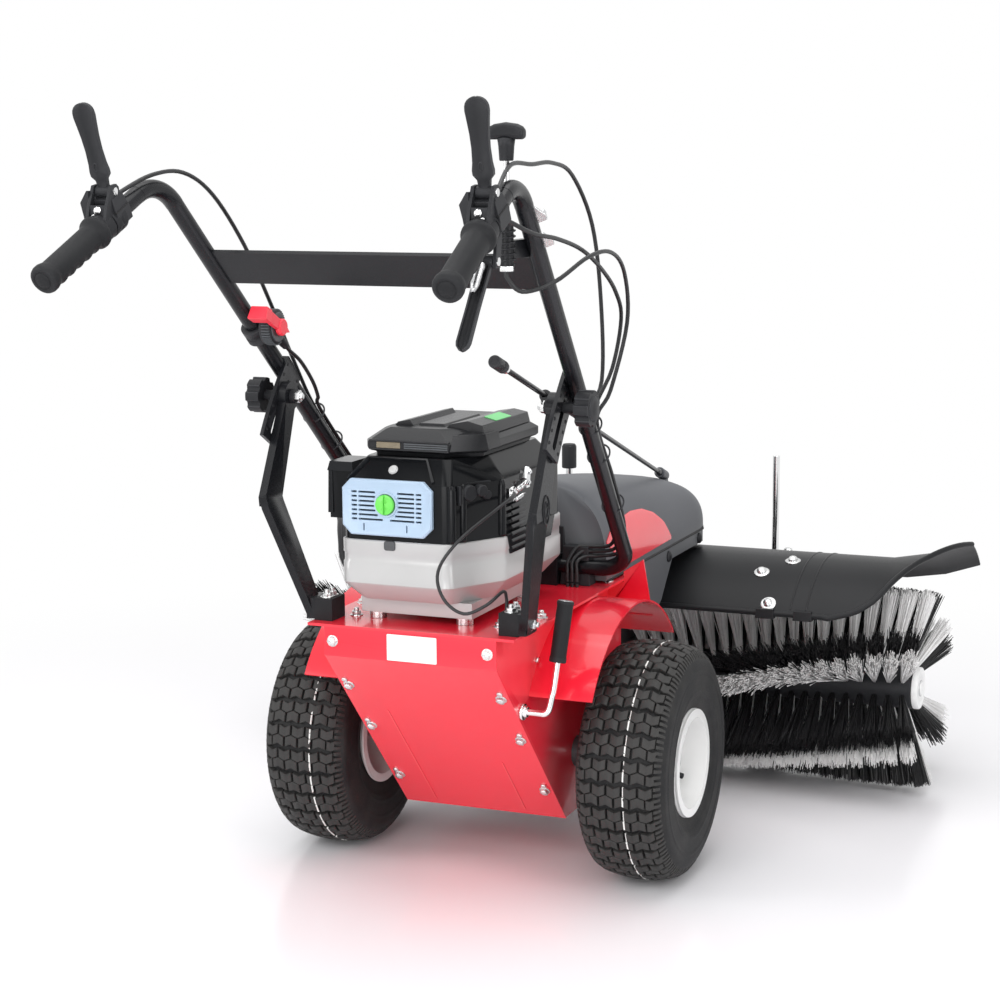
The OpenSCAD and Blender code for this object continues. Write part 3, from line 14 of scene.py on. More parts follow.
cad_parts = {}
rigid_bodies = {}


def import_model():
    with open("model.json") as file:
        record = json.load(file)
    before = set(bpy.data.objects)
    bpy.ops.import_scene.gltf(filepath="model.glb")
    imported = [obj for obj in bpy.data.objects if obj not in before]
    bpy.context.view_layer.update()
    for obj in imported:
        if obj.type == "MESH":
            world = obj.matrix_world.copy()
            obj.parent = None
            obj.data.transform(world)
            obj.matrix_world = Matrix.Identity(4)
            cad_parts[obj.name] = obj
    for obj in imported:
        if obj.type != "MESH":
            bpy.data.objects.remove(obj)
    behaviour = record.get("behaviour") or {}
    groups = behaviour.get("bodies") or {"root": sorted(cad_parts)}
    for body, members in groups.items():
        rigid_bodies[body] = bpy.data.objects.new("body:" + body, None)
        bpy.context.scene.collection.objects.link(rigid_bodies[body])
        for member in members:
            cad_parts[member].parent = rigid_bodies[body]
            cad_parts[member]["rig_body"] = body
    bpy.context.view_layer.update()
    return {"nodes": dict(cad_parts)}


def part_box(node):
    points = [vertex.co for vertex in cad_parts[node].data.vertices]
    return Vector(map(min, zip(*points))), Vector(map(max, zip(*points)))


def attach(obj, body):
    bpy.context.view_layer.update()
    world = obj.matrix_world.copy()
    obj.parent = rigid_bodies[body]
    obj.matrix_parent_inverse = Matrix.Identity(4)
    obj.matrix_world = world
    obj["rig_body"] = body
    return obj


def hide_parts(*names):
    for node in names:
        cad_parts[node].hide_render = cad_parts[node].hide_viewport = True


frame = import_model()

MM = 0.001
MID_Y = 55.690625  # the frame's middle, ahead of the drive axle
TAU = 2 * math.pi
SIDE_NAME = {-1: "left", 1: "right"}
X_WAY, Y_WAY, Z_WAY = (1, 0, 0), (0, 1, 0), (0, 0, 1)

# Places that several pieces share
AXLE_Z = 190.5
WHEEL_X = 269
DECK_Z = 448
BRUSH_Y, BRUSH_Z = 615, 187
GRIP_END = Vector((283, -820, 991))
TOP_BEND = Vector((267, -565, 1117))
TUBE_FOOT = Vector((204, 74, 478))
GRIP_DIR = (TOP_BEND - GRIP_END).normalized()
LEG_DIR = (TUBE_FOOT - TOP_BEND).normalized()


def at(point):
    """A point in millimetres about the axle, as metres in the frame."""
    return Vector((point[0], point[1] - MID_Y, point[2])) * MM


def on_leg(z):
    """The point of the right tube's leg at that height."""
    return TOP_BEND + LEG_DIR * ((z - TOP_BEND.z) / LEG_DIR.z)


def flip(point):
    """The same point on the other side of the machine."""
    return Vector((-point[0], point[1], point[2]))


# ---------------------------------------------------------------- node trees

class Nodes:
    """A node tree, with short calls that make its nodes and join them."""

    def __init__(self, tree):
        self.tree = tree

    def put(self, socket, value):
        """Links or sets one socket."""
        if isinstance(value, bpy.types.NodeSocket):
            self.tree.links.new(value, socket)
        else:
            socket.default_value = value

    def add(self, kind, values=None, **settings):
        """A node with its settings and with what goes into its sockets."""
        node = self.tree.nodes.new(kind)
        for key, value in settings.items():
            setattr(node, key, value)
        for key, value in (values or {}).items():
            self.put(node.inputs[key], value)
        return node

    def math(self, operation, first, second=0.0):
        """One operation on two values."""
        return self.add("ShaderNodeMath", {0: first, 1: second}, operation=operation).outputs[0]

    def seen_directly(self):
        """1 for camera, mirror and glass rays, 0 for the rays that carry light."""
        ray = self.add("ShaderNodeLightPath").outputs
        first = self.math("MAXIMUM", ray["Is Camera Ray"], ray["Is Glossy Ray"])
        return self.math("MAXIMUM", first, ray["Is Transmission Ray"])


class Shader(Nodes):
    """A material's node tree, with short calls for what the finishes share."""

    def __init__(self, name):
        self.material = bpy.data.materials.new(name)
        self.material.use_nodes = True
        super().__init__(self.material.node_tree)
        self.base = self.tree.nodes["Principled BSDF"]
        self.place = self.add("ShaderNodeTexCoord").outputs["Object"]

    def surface(self, values):
        """Gives the surface its values."""
        for key, value in values.items():
            self.put(self.base.inputs[key], value)

    def noise(self, scale, detail):
        """A cloudy pattern fixed to the piece."""
        values = {"Vector": self.place, "Scale": scale, "Detail": detail}
        return self.add("ShaderNodeTexNoise", values).outputs["Fac"]

    def ramp(self, value, low, high, from_low=0.35, from_high=0.65):
        """A value stretched onto another range."""
        values = {"Value": value, "From Min": from_low, "From Max": from_high, "To Min": low,
                  "To Max": high}
        return self.add("ShaderNodeMapRange", values).outputs["Result"]

    def mix(self, share, first, second):
        """A colour between two colours."""
        first, second = (c if isinstance(c, bpy.types.NodeSocket) else (*c, 1) for c in (first, second))
        return self.add("ShaderNodeMix", {0: share, 6: first, 7: second}, data_type="RGBA").outputs[2]

    def axis(self, name):
        """A place along one axis of the frame, in metres."""
        return self.add("ShaderNodeSeparateXYZ", {0: self.place}).outputs[name]

    def bump(self, height, strength, distance):
        """A surface raised by a pattern."""
        values = {"Strength": strength, "Distance": distance, "Height": height}
        return self.add("ShaderNodeBump", values).outputs[0]

    def edges(self, low=0.53, high=0.62):
        """1 on sharp outer edges, from the surface's own sharpness; used for painted edge highlights."""
        return self.ramp(self.add("ShaderNodeNewGeometry").outputs["Pointiness"], 0, 1, low, high)


# ---------------------------------------------------------------- camera, light and floor

def make_camera():
    """The photo's camera: behind, to the right and a little above."""
    data = bpy.data.cameras.new("camera")
    data.lens = 78.05
    data.sensor_width = 36
    data.clip_end = 60
    camera = bpy.data.objects.new("camera", data)
    camera.location = at((1325, -3180, 1160))
    camera.rotation_euler = (math.radians(90 - 9.35), math.radians(0.35), math.radians(22.43))
    bpy.context.scene.collection.objects.link(camera)
    bpy.context.scene.camera = camera


def make_lamp(name, place, aim, size, power):
    """A softbox that faces a point."""
    data = bpy.data.lights.new(name, "AREA")
    data.shape = "RECTANGLE"
    data.size, data.size_y = size
    data.energy = power
    lamp = bpy.data.objects.new(name, data)
    lamp.location = place
    lamp.rotation_euler = (Vector(aim) - Vector(place)).to_track_quat("-Z", "Y").to_euler()
    bpy.context.scene.collection.objects.link(lamp)


def make_world():
    """A white backdrop that gives plain, even light."""
    world = bpy.data.worlds.new("studio")
    bpy.context.scene.world = world
    world.use_nodes = True
    world.node_tree.nodes.clear()
    n = Nodes(world.node_tree)
    room = n.add("ShaderNodeBackground", {"Color": (1, 1, 1, 1), "Strength": 0.55}).outputs[0]
    backdrop = n.add("ShaderNodeBackground", {"Color": (1, 1, 1, 1), "Strength": 1}).outputs[0]
    shown = n.add("ShaderNodeMixShader", {0: n.seen_directly(), 1: room, 2: backdrop}).outputs[0]
    n.add("ShaderNodeOutputWorld", {0: shown})


def make_floor():
    """A pale glossy floor that fades into the white backdrop away from the machine."""
    mesh = bpy.data.meshes.new("floor")
    half = 12
    corners = [(-half, -half, 0), (half, -half, 0), (half, half, 0), (-half, half, 0)]
    mesh.from_pydata(corners, [], [(0, 1, 2, 3)])
    floor = bpy.data.objects.new("floor", mesh)
    bpy.context.scene.collection.objects.link(floor)
    s = Shader("studio_floor")
    s.surface({"Base Color": (0.93, 0.92, 0.945, 1), "Roughness": 0.22})
    distance = s.add("ShaderNodeVectorMath", {0: s.place}, operation="LENGTH").outputs["Value"]
    fade = s.add("ShaderNodeMapRange", {"Value": distance, "From Min": 0.95, "From Max": 2.3},
                 interpolation_type="SMOOTHSTEP").outputs["Result"]
    white = s.add("ShaderNodeEmission").outputs[0]
    away = s.math("MULTIPLY", fade, s.seen_directly())
    shown = s.add("ShaderNodeMixShader", {0: away, 1: s.base.outputs[0], 2: white}).outputs[0]
    s.put(s.tree.nodes["Material Output"].inputs[0], shown)
    mesh.materials.append(s.material)


make_camera()
make_world()
make_floor()
make_lamp("top_softbox", (0.1, -0.2, 3.4), (0, 0, 0.3), (3.2, 3.2), 62)
make_lamp("left_softbox", (-3.0, -2.4, 2.2), (0, 0, 0.5), (1.6, 2.4), 46)
make_lamp("right_softbox", (3.2, -1.6, 1.9), (0, 0.2, 0.4), (1.4, 2.2), 40)
make_lamp("rear_softbox", (0.3, -3.6, 2.6), (0, 0, 0.5), (2.4, 1.2), 34)
make_lamp("low_rear_softbox", (0.2, -3.0, 0.55), (0, -0.2, 0.3), (2.2, 0.7), 20)
bpy.context.scene.view_settings.view_transform = "Standard"


# ---------------------------------------------------------------- finishes

def finish(name, colour, other, rough, grain, bump, depth=0.0001, metal=0.0, coat=0.0, patch=9, edge_highlight=None,
           gloss=0.5):
    """A finish whose colour drifts between two shades, with grain, bump and an optional painted highlight on
    sharp outer edges.
    """
    s = Shader(name)
    tone = s.mix(s.ramp(s.noise(patch, 4), 0, 1), colour, other)
    # A lighter tone on sharp outer edges: a painted highlight.
    if edge_highlight is not None:
        tone = s.mix(s.edges(), tone, edge_highlight)
    fine = s.noise(grain, 2)
    s.surface({"Base Color": tone, "Roughness": s.ramp(fine, *rough), "Normal": s.bump(fine, bump, depth),
               "Metallic": metal, "Specular IOR Level": gloss})
    if coat:
        s.surface({"Coat Weight": coat, "Coat Roughness": 0.06})
    return s.material


# Each edge_highlight colour below is a painted highlight on the finish's sharp outer edges.
RED_PAINT = finish("red_gloss_paint", (0.79, 0.012, 0.032), (0.83, 0.016, 0.040), (0.22, 0.27), grain=40,
                   bump=0.012, depth=0.0005, coat=0.5, patch=3, edge_highlight=(0.86, 0.05, 0.07), gloss=0.35)
BLACK_PAINT = finish("black_powder_coat", (0.0055, 0.006, 0.0075), (0.0085, 0.009, 0.011), (0.24, 0.32),
                     grain=1400, bump=0.06, patch=7, edge_highlight=(0.022, 0.022, 0.025), gloss=0.24)
COVER_PAINT = finish("black_sheet_paint", (0.0075, 0.008, 0.009), (0.011, 0.0115, 0.013), (0.36, 0.44),
                     grain=900, bump=0.04, patch=5, edge_highlight=(0.024, 0.024, 0.026), gloss=0.2)
CONTROL_PLASTIC = finish("black_control_plastic", (0.012, 0.0125, 0.0145), (0.018, 0.0185, 0.021),
                         (0.42, 0.52), grain=2600, bump=0.2, edge_highlight=(0.04, 0.041, 0.045), gloss=0.2)
SHROUD_PLASTIC = finish("black_shroud_plastic", (0.0045, 0.005, 0.006), (0.0065, 0.007, 0.008),
                        (0.12, 0.17), grain=300, bump=0.015, edge_highlight=(0.022, 0.023, 0.026), gloss=0.17)
LID_PLASTIC = finish("satin_lid_plastic", (0.011, 0.0115, 0.013), (0.016, 0.0165, 0.018), (0.26, 0.34),
                     grain=1800, bump=0.1, edge_highlight=(0.04, 0.04, 0.043), gloss=0.22)
SILVER_PAINT = finish("silver_shroud_paint", (0.45, 0.448, 0.446), (0.50, 0.497, 0.494), (0.3, 0.4),
                      metal=0.25, grain=2400, bump=0.05, coat=0.2, patch=5)
HOOD_PLASTIC = finish("grey_hood_plastic", (0.062, 0.066, 0.076), (0.074, 0.078, 0.089), (0.46, 0.56),
                      grain=1500, bump=0.16, depth=0.00015, patch=3, edge_highlight=(0.10, 0.103, 0.11), gloss=0.45)
SKIRT_PLASTIC = finish("grey_skirt_plastic", (0.072, 0.075, 0.083), (0.086, 0.089, 0.097), (0.44, 0.54),
                       grain=1500, bump=0.16, depth=0.00015, patch=3, edge_highlight=(0.13, 0.133, 0.14), gloss=0.4)
GRIP_RUBBER = finish("grip_rubber", (0.0105, 0.011, 0.0125), (0.016, 0.0165, 0.018), (0.5, 0.62),
                     grain=1100, bump=0.18, depth=0.0002, edge_highlight=(0.035, 0.036, 0.039), gloss=0.18)
BLOCK_RUBBER = finish("block_rubber", (0.009, 0.009, 0.0105), (0.015, 0.015, 0.017), (0.58, 0.7), grain=900,
                      bump=0.3, depth=0.0002, gloss=0.25)
WHITE_PAINT = finish("white_rim_paint", (0.83, 0.83, 0.82), (0.88, 0.88, 0.875), (0.28, 0.36), grain=900,
                     bump=0.04, coat=0.3, patch=6)
ZINC = finish("zinc_plate", (0.60, 0.61, 0.62), (0.74, 0.74, 0.73), (0.22, 0.34), metal=1.0, grain=600,
              bump=0.06, patch=60)
CHROME = finish("chrome_plate", (0.74, 0.745, 0.755), (0.80, 0.80, 0.80), (0.07, 0.12), metal=1.0,
                grain=300, bump=0.02, patch=20)
CAST_METAL = finish("cast_case", (0.060, 0.062, 0.066), (0.085, 0.087, 0.092), (0.5, 0.66), metal=0.4,
                    grain=500, bump=0.4, depth=0.0004, patch=16)
STEEL = finish("turned_steel", (0.42, 0.43, 0.44), (0.54, 0.54, 0.55), (0.26, 0.38), metal=1.0, grain=500,
               bump=0.06, patch=24)
PALE_BLUE = finish("pale_blue_plastic", (0.36, 0.475, 0.61), (0.39, 0.505, 0.64), (0.3, 0.38), grain=1300,
                   bump=0.06, patch=10)
LIME = finish("lime_knob_plastic", (0.12, 0.60, 0.075), (0.16, 0.66, 0.10), (0.26, 0.34), grain=1300,
              bump=0.05, patch=30)
SIGNAL_RED = finish("signal_red_plastic", (0.80, 0.025, 0.05), (0.86, 0.04, 0.066), (0.3, 0.4), grain=1300,
                    bump=0.05, patch=30)
DIAL_GREY = finish("grey_dial_plastic", (0.045, 0.05, 0.056), (0.062, 0.068, 0.075), (0.42, 0.52),
                   grain=1800, bump=0.15, patch=20)
CABLE_SKIN = finish("cable_sheath", (0.011, 0.0115, 0.013), (0.018, 0.0185, 0.020), (0.36, 0.46),
                    grain=1500, bump=0.1, patch=14, gloss=0.4)
# Painted shade: a near-black put into slots, seams and holes where shade falls.
SHADOW_BLACK = finish("dark_recess", (0.003, 0.003, 0.0035), (0.005, 0.005, 0.006), (0.6, 0.8), grain=700,
                      bump=0.1)
AMBER = finish("smoked_window", (0.16, 0.13, 0.085), (0.21, 0.17, 0.11), (0.16, 0.24), grain=500, bump=0.04,
               coat=0.4, patch=40)
GREEN_PATCH = finish("plain_green_patch", (0.13, 0.56, 0.17), (0.17, 0.62, 0.22), (0.34, 0.42), grain=800,
                     bump=0.03, patch=20)
WHITE_PATCH = finish("plain_white_patch", (0.80, 0.80, 0.80), (0.86, 0.86, 0.855), (0.3, 0.38), grain=800,
                     bump=0.03, patch=20)
BRISTLE_BLACK = finish("black_bristle", (0.006, 0.006, 0.0068), (0.015, 0.015, 0.0165), (0.42, 0.58),
                       grain=300, bump=0.05, patch=90)
BRISTLE_WHITE = finish("white_bristle", (0.88, 0.875, 0.87), (0.96, 0.955, 0.95), (0.4, 0.55), grain=300,
                       bump=0.05, patch=90)


# The painted line of the right and the left tyre: its places, half its width and the radius it starts at
LINE_X, LINE_HALF, LINE_RADIUS = (284, -247.5), 1.15, 186.2


def tyre_finish():
    """Dusty rubber with the thin painted line that runs round the tread."""
    s = Shader("tyre_rubber")
    dust = s.ramp(s.noise(22, 6), 0, 1, 0.42, 0.72)
    tone = s.mix(dust, (0.0085, 0.0085, 0.0095), (0.021, 0.0205, 0.020))
    # A lighter tone on the sharp edges of the blocks: a painted highlight.
    tone = s.mix(s.edges(0.52, 0.6), tone, (0.036, 0.035, 0.034))
    x = s.axis("X")
    right, left = (s.math("ABSOLUTE", s.math("SUBTRACT", x, place * MM)) for place in LINE_X)
    line = s.math("LESS_THAN", s.math("MINIMUM", right, left), LINE_HALF * MM)
    y = s.math("ADD", s.axis("Y"), MID_Y * MM)
    z = s.math("SUBTRACT", s.axis("Z"), AXLE_Z * MM)
    radius = s.math("SQRT", s.math("ADD", s.math("MULTIPLY", y, y), s.math("MULTIPLY", z, z)))
    on_top = s.math("GREATER_THAN", radius, LINE_RADIUS * MM)
    broken = s.math("GREATER_THAN", s.noise(55, 3), 0.40)
    line = s.math("MULTIPLY", s.math("MULTIPLY", line, on_top), broken)
    fine = s.noise(900, 3)
    s.surface({"Base Color": s.mix(line, tone, (0.75, 0.75, 0.73)), "Roughness": s.ramp(fine, 0.55, 0.72),
               "Specular IOR Level": 0.32, "Normal": s.bump(fine, 0.3, 0.0003)})
    return s.material


TYRE_RUBBER = tyre_finish()


# ---------------------------------------------------------------- mesh helpers

BOX_FACES = [(3, 2, 1, 0), (4, 5, 6, 7), (0, 1, 5, 4), (1, 2, 6, 5), (2, 3, 7, 6), (3, 0, 4, 7)]


class Shape:
    """Vertices and faces in millimetres about the axle."""

    def __init__(self):
        self.points, self.faces = [], []

    def add(self, points, faces):
        start = len(self.points)
        self.points += [Vector(p) for p in points]
        self.faces += [tuple(start + i for i in f) for f in faces]
        return self

    def box(self, low, high, frame_of=None, inset=0.0):
        """A box between two corners, whose top may be inset, in its own frame where one is given."""
        (x0, y0, z0), (x1, y1, z1), i = low, high, inset
        points = [(x0, y0, z0), (x1, y0, z0), (x1, y1, z0), (x0, y1, z0),
                  (x0 + i, y0 + i, z1), (x1 - i, y0 + i, z1), (x1 - i, y1 - i, z1), (x0 + i, y1 - i, z1)]
        if frame_of:
            points = [frame_of(p) for p in points]
        return self.add(points, BOX_FACES)

    def prism(self, outline, low, high, frame_of, inset=0.0):
        """An outline of (u, v) points, between two depths w; its far end may be inset towards its middle."""
        n = len(outline)
        middle = sum((Vector(p) for p in outline), Vector((0, 0))) / n
        far = []
        for p in outline:
            out = Vector(p) - middle
            far.append(Vector(p) - out.normalized() * inset if out.length else Vector(p))
        points = [frame_of((u, v, low)) for u, v in outline] + [frame_of((u, v, high)) for u, v in far]
        sides = [(k, (k + 1) % n, n + (k + 1) % n, n + k) for k in range(n)]
        return self.add(points, [tuple(reversed(range(n))), tuple(range(n, 2 * n))] + sides)

    def lathe(self, profile, origin, axis, sides=32, swell=None):
        """Turns (radius, distance along the axis) points; the ends are closed unless they meet."""
        axis = Vector(axis).normalized()
        e = axis.orthogonal().normalized()
        f = axis.cross(e)
        origin = Vector(origin)
        points, faces = [], []
        for r, t in profile:
            for k in range(sides):
                a = TAU * k / sides
                way = e * math.cos(a) + f * math.sin(a)
                points.append(origin + axis * t + way * (r + (swell(t, way) if swell else 0)))
        for i in range(len(profile) - 1):
            for k in range(sides):
                m = (k + 1) % sides
                faces.append((i * sides + k, i * sides + m, (i + 1) * sides + m, (i + 1) * sides + k))
        last = (len(profile) - 1) * sides
        if profile[0] != profile[-1]:
            faces.append(tuple(reversed(range(sides))))
            faces.append(tuple(range(last, last + sides)))
        return self.add(points, faces)

    def tube(self, path, radius, sides=12, ring=None):
        """A round bar along a path of points, or a bar with its own ring of (u, v) points."""
        path = [Vector(p) for p in path]
        shape = ring or oval_of(radius, radius, sides)
        n = len(shape)
        points, faces = [], []
        side = None
        for i, p in enumerate(path):
            way = (path[min(i + 1, len(path) - 1)] - path[max(i - 1, 0)]).normalized()
            side = way.orthogonal() if side is None else side - way * side.dot(way)
            side.normalize()
            up = way.cross(side)
            points += [p + side * u + up * v for u, v in shape]
        for i in range(len(path) - 1):
            for k in range(n):
                m = (k + 1) % n
                faces.append((i * n + k, i * n + m, (i + 1) * n + m, (i + 1) * n + k))
        last = (len(path) - 1) * n
        faces.append(tuple(reversed(range(n))))
        faces.append(tuple(range(last, last + n)))
        return self.add(points, faces)

    def skin(self, rows, closed=False):
        """A sheet through rows of points."""
        n = len(rows[0])
        faces = []
        for i in range(len(rows) - 1):
            for k in range(n if closed else n - 1):
                m = (k + 1) % n
                faces.append((i * n + k, i * n + m, (i + 1) * n + m, (i + 1) * n + k))
        return self.add([p for row in rows for p in row], faces)

    def mirrored(self):
        """The same shape on the machine's left."""
        other = Shape()
        other.points = [flip(p) for p in self.points]
        other.faces = [tuple(reversed(f)) for f in self.faces]
        return other

    def on(self, side):
        """The shape itself on the right, or its mirror image on the left."""
        return self if side > 0 else self.mirrored()

    def take(self, other):
        """Takes in another shape."""
        return self.add(other.points, other.faces)


def closed_skin(rings):
    """A skin through rings that is closed at both ends."""
    shape = Shape().skin(rings, closed=True)
    n = len(rings[0])
    shape.add(rings[0], [tuple(reversed(range(n)))])
    return shape.add(rings[-1], [tuple(range(n))])


def smooth_path(points, steps=8):
    """Points on a smooth curve through a route."""
    p = [Vector(q) for q in points]
    out = []
    for i in range(len(p) - 1):
        a, b, c, d = p[max(i - 1, 0)], p[i], p[i + 1], p[min(i + 2, len(p) - 1)]
        for k in range(steps):
            t = k / steps
            out.append(0.5 * (2 * b + (c - a) * t + (2 * a - 5 * b + 4 * c - d) * t * t
                              + (3 * b - a - 3 * c + d) * t * t * t))
    return out + [p[-1]]


def axes(origin, u, v, w):
    """A frame of three directions at a point, as a call that places (u, v, w)."""
    o, a, b, c = (Vector(x) for x in (origin, u, v, w))
    return lambda p: o + a * p[0] + b * p[1] + c * p[2]


def side_frame(origin):
    """A frame whose (u, v) is forward and up, and whose w is the machine's right."""
    return axes(origin, Y_WAY, Z_WAY, X_WAY)


def front_frame(origin):
    """A frame whose (u, v) is right and up, and whose w is forward."""
    return axes(origin, X_WAY, Z_WAY, Y_WAY)


def oval_of(width, height, count):
    """The outline of an oval, about its middle, from its half width and half height."""
    return [(width * math.cos(TAU * k / count), height * math.sin(TAU * k / count)) for k in range(count)]


def rounded(width, height, radius, steps=4):
    """The outline of a rectangle with round corners, about its middle."""
    out = []
    for cx, cy, start in ((1, -1, -90), (1, 1, 0), (-1, 1, 90), (-1, -1, 180)):
        for k in range(steps + 1):
            a = math.radians(start + 90 * k / steps)
            out.append((cx * (width / 2 - radius) + radius * math.cos(a),
                        cy * (height / 2 - radius) + radius * math.sin(a)))
    return out


def settle(obj, body, material=None, stands_for=(), sharp=38):
    """Shades a finished piece and hands it to its body."""
    mesh = obj.data
    if material is not None:
        mesh.materials.clear()
        mesh.materials.append(material)
    for face in mesh.polygons:
        face.use_smooth = True
    mesh.set_sharp_from_angle(angle=math.radians(sharp))
    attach(obj, body)
    if stands_for:
        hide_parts(*stands_for)
    return obj


def link_mesh(name, mesh):
    """An object for a mesh, put in the scene."""
    obj = bpy.data.objects.new(name, mesh)
    bpy.context.scene.collection.objects.link(obj)
    return obj


def bake(obj, *modifiers):
    """Applies modifiers given as (type, settings) and leaves a plain mesh."""
    for kind, settings in modifiers:
        made = obj.modifiers.new(kind.lower(), kind)
        for key, value in settings.items():
            setattr(made, key, value)
    graph = bpy.context.evaluated_depsgraph_get()
    graph.update()
    mesh = bpy.data.meshes.new_from_object(obj.evaluated_get(graph))
    obj.modifiers.clear()
    obj.data = mesh
    return obj


def bevel_edges(bm, width, angle):
    """Rounds the edges that are sharper than an angle."""
    edges = [e for e in bm.edges if len(e.link_faces) == 2 and e.calc_face_angle(0) > math.radians(angle)]
    if edges and width:
        bmesh.ops.bevel(bm, geom=edges, offset=width * MM, segments=2, profile=0.6, affect="EDGES",
                        clamp_overlap=True)


def shaped(name, shape, edge=0.0, angle=32):
    """An object made from a shape, merged, turned outwards and with softened edges."""
    mesh = bpy.data.meshes.new(name)
    mesh.from_pydata([at(p) for p in shape.points], [], shape.faces)
    bm = bmesh.new()
    bm.from_mesh(mesh)
    bmesh.ops.remove_doubles(bm, verts=bm.verts, dist=1e-6)
    bmesh.ops.recalc_face_normals(bm, faces=bm.faces)
    bevel_edges(bm, edge, angle)
    bm.to_mesh(mesh)
    bm.free()
    return link_mesh(name, mesh)


def even_shade(obj, sharp=38):
    """Smooth shading that keeps flat faces flat."""
    for face in obj.data.polygons:
        face.use_smooth = True
    obj.data.set_sharp_from_angle(angle=math.radians(sharp))
    return bake(obj, ("WEIGHTED_NORMAL", {"keep_sharp": True}))


def piece(name, shape, body, material, stands_for=(), edge=0.0, angle=32, sharp=38):
    """Makes an object from a shape, riding on its body."""
    obj = even_shade(shaped(name, shape, edge, angle), sharp)
    return settle(obj, body, material, stands_for, sharp)


BODY_OF = {node: obj["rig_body"] for node, obj in frame["nodes"].items()}


def dress(node, material, edge=0.8, angle=34, sharp=38):
    """A merged copy of a CAD node with softened edges stands for it."""
    source = frame["nodes"][node].data
    low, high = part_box(node)
    bm = bmesh.new()
    bm.from_mesh(source)
    bmesh.ops.remove_doubles(bm, verts=bm.verts, dist=2e-5)
    bmesh.ops.dissolve_limit(bm, angle_limit=math.radians(0.6), verts=bm.verts, edges=bm.edges)
    plain = bm.copy()
    bevel_edges(bm, edge, angle)
    room = edge * MM
    if any(c < l - room or c > h + room for v in bm.verts for c, l, h in zip(v.co, low, high)):
        bm.free()
        bm = plain
    else:
        plain.free()
    mesh = bpy.data.meshes.new(node + "_skin")
    bm.to_mesh(mesh)
    bm.free()
    obj = link_mesh(node + "_skin", mesh)
    even_shade(obj, sharp)
    return settle(obj, BODY_OF[node], material, (node,), sharp=sharp)


# ---------------------------------------------------------------- node trees for what repeats

class Growth(Nodes):
    """A geometry node tree with named inputs, and short calls for its nodes."""

    def __init__(self, name, **inputs):
        super().__init__(bpy.data.node_groups.new(name, "GeometryNodeTree"))
        sockets = self.tree.interface
        sockets.new_socket("Geometry", in_out="OUTPUT", socket_type="NodeSocketGeometry")
        sockets.new_socket("Geometry", in_out="INPUT", socket_type="NodeSocketGeometry")
        self.ids = {}
        for label, kind in inputs.items():
            made = sockets.new_socket(label, in_out="INPUT", socket_type="NodeSocket" + kind)
            self.ids[label] = made.identifier
        self.given = self.tree.nodes.new("NodeGroupInput").outputs
        self.result = self.tree.nodes.new("NodeGroupOutput").inputs[0]

    def vector(self, operation, first, second):
        other = "Scale" if operation == "SCALE" else 1
        return self.add("ShaderNodeVectorMath", {0: first, other: second}, operation=operation).outputs[0]

    def join(self, x, y, z):
        """A vector from its three parts."""
        return self.add("ShaderNodeCombineXYZ", {0: x, 1: y, 2: z}).outputs[0]

    def chance(self, low, high, offset):
        """A number for each point, drawn from the given seed."""
        seed = self.math("ADD", self.given["Seed"], offset)
        return self.add("FunctionNodeRandomValue", {2: low, 3: high, 8: seed}, data_type="FLOAT").outputs[1]

    def turned(self, axis, angle):
        """A turn about an axis."""
        return self.add("FunctionNodeAxisAngleToRotation", {"Axis": axis, "Angle": angle}).outputs[0]

    def aimed(self, way):
        """Stands a copy along a direction, turned by chance about it."""
        aim = self.add("FunctionNodeAlignRotationToVector", {"Vector": way}, axis="Z").outputs[0]
        spin = self.turned(Z_WAY, self.chance(0.0, TAU, 9))
        return self.add("FunctionNodeRotateRotation", {0: aim, 1: spin}, rotation_space="LOCAL").outputs[0]

    def close(self, points, copy, turn, scale=(1, 1, 1)):
        """Puts the copies on the points and ends in real faces with the given finish."""
        made = self.add("GeometryNodeInstanceOnPoints",
                        {"Points": points, "Instance": copy, "Rotation": turn, "Scale": scale}).outputs[0]
        real = self.add("GeometryNodeRealizeInstances", {0: made}).outputs[0]
        done = self.add("GeometryNodeSetMaterial", {0: real, "Material": self.given["Finish"]}).outputs[0]
        self.tree.links.new(done, self.result)
        return self

    def on(self, obj, **values):
        """Runs the tree on an object and leaves a plain mesh."""
        made = obj.modifiers.new("growth", "NODES")
        made.node_group = self.tree
        for label, value in values.items():
            made[self.ids[label]] = value
        return bake(obj)


def make_row_tree():
    """Copies of a piece, each one shifted and turned a step further than the last."""
    g = Growth("copies_in_a_row", Count="Int", Shift="Vector", Centre="Vector", Axis="Vector", Turn="Float",
               Finish="Material")
    index = g.add("GeometryNodeInputIndex").outputs[0]
    place = g.vector("ADD", g.given["Centre"], g.vector("SCALE", g.given["Shift"], index))
    points = g.add("GeometryNodePoints", {"Count": g.given["Count"], "Position": place}).outputs[0]
    back = g.vector("SCALE", g.given["Centre"], -1.0)
    copy = g.add("GeometryNodeTransform", {"Geometry": g.given["Geometry"], "Translation": back}).outputs[0]
    return g.close(points, copy, g.turned(g.given["Axis"], g.math("MULTIPLY", index, g.given["Turn"])))


def make_fastener_tree():
    """One fastener on each point, standing along the point's own direction."""
    g = Growth("fasteners_on_points", Fastener="Object", Seed="Int", Finish="Material")
    way = g.add("GeometryNodeInputNamedAttribute", {"Name": "stands_along"},
                data_type="FLOAT_VECTOR").outputs[0]
    head = g.add("GeometryNodeObjectInfo", {"Object": g.given["Fastener"]}).outputs["Geometry"]
    return g.close(g.given["Geometry"], head, g.aimed(way))


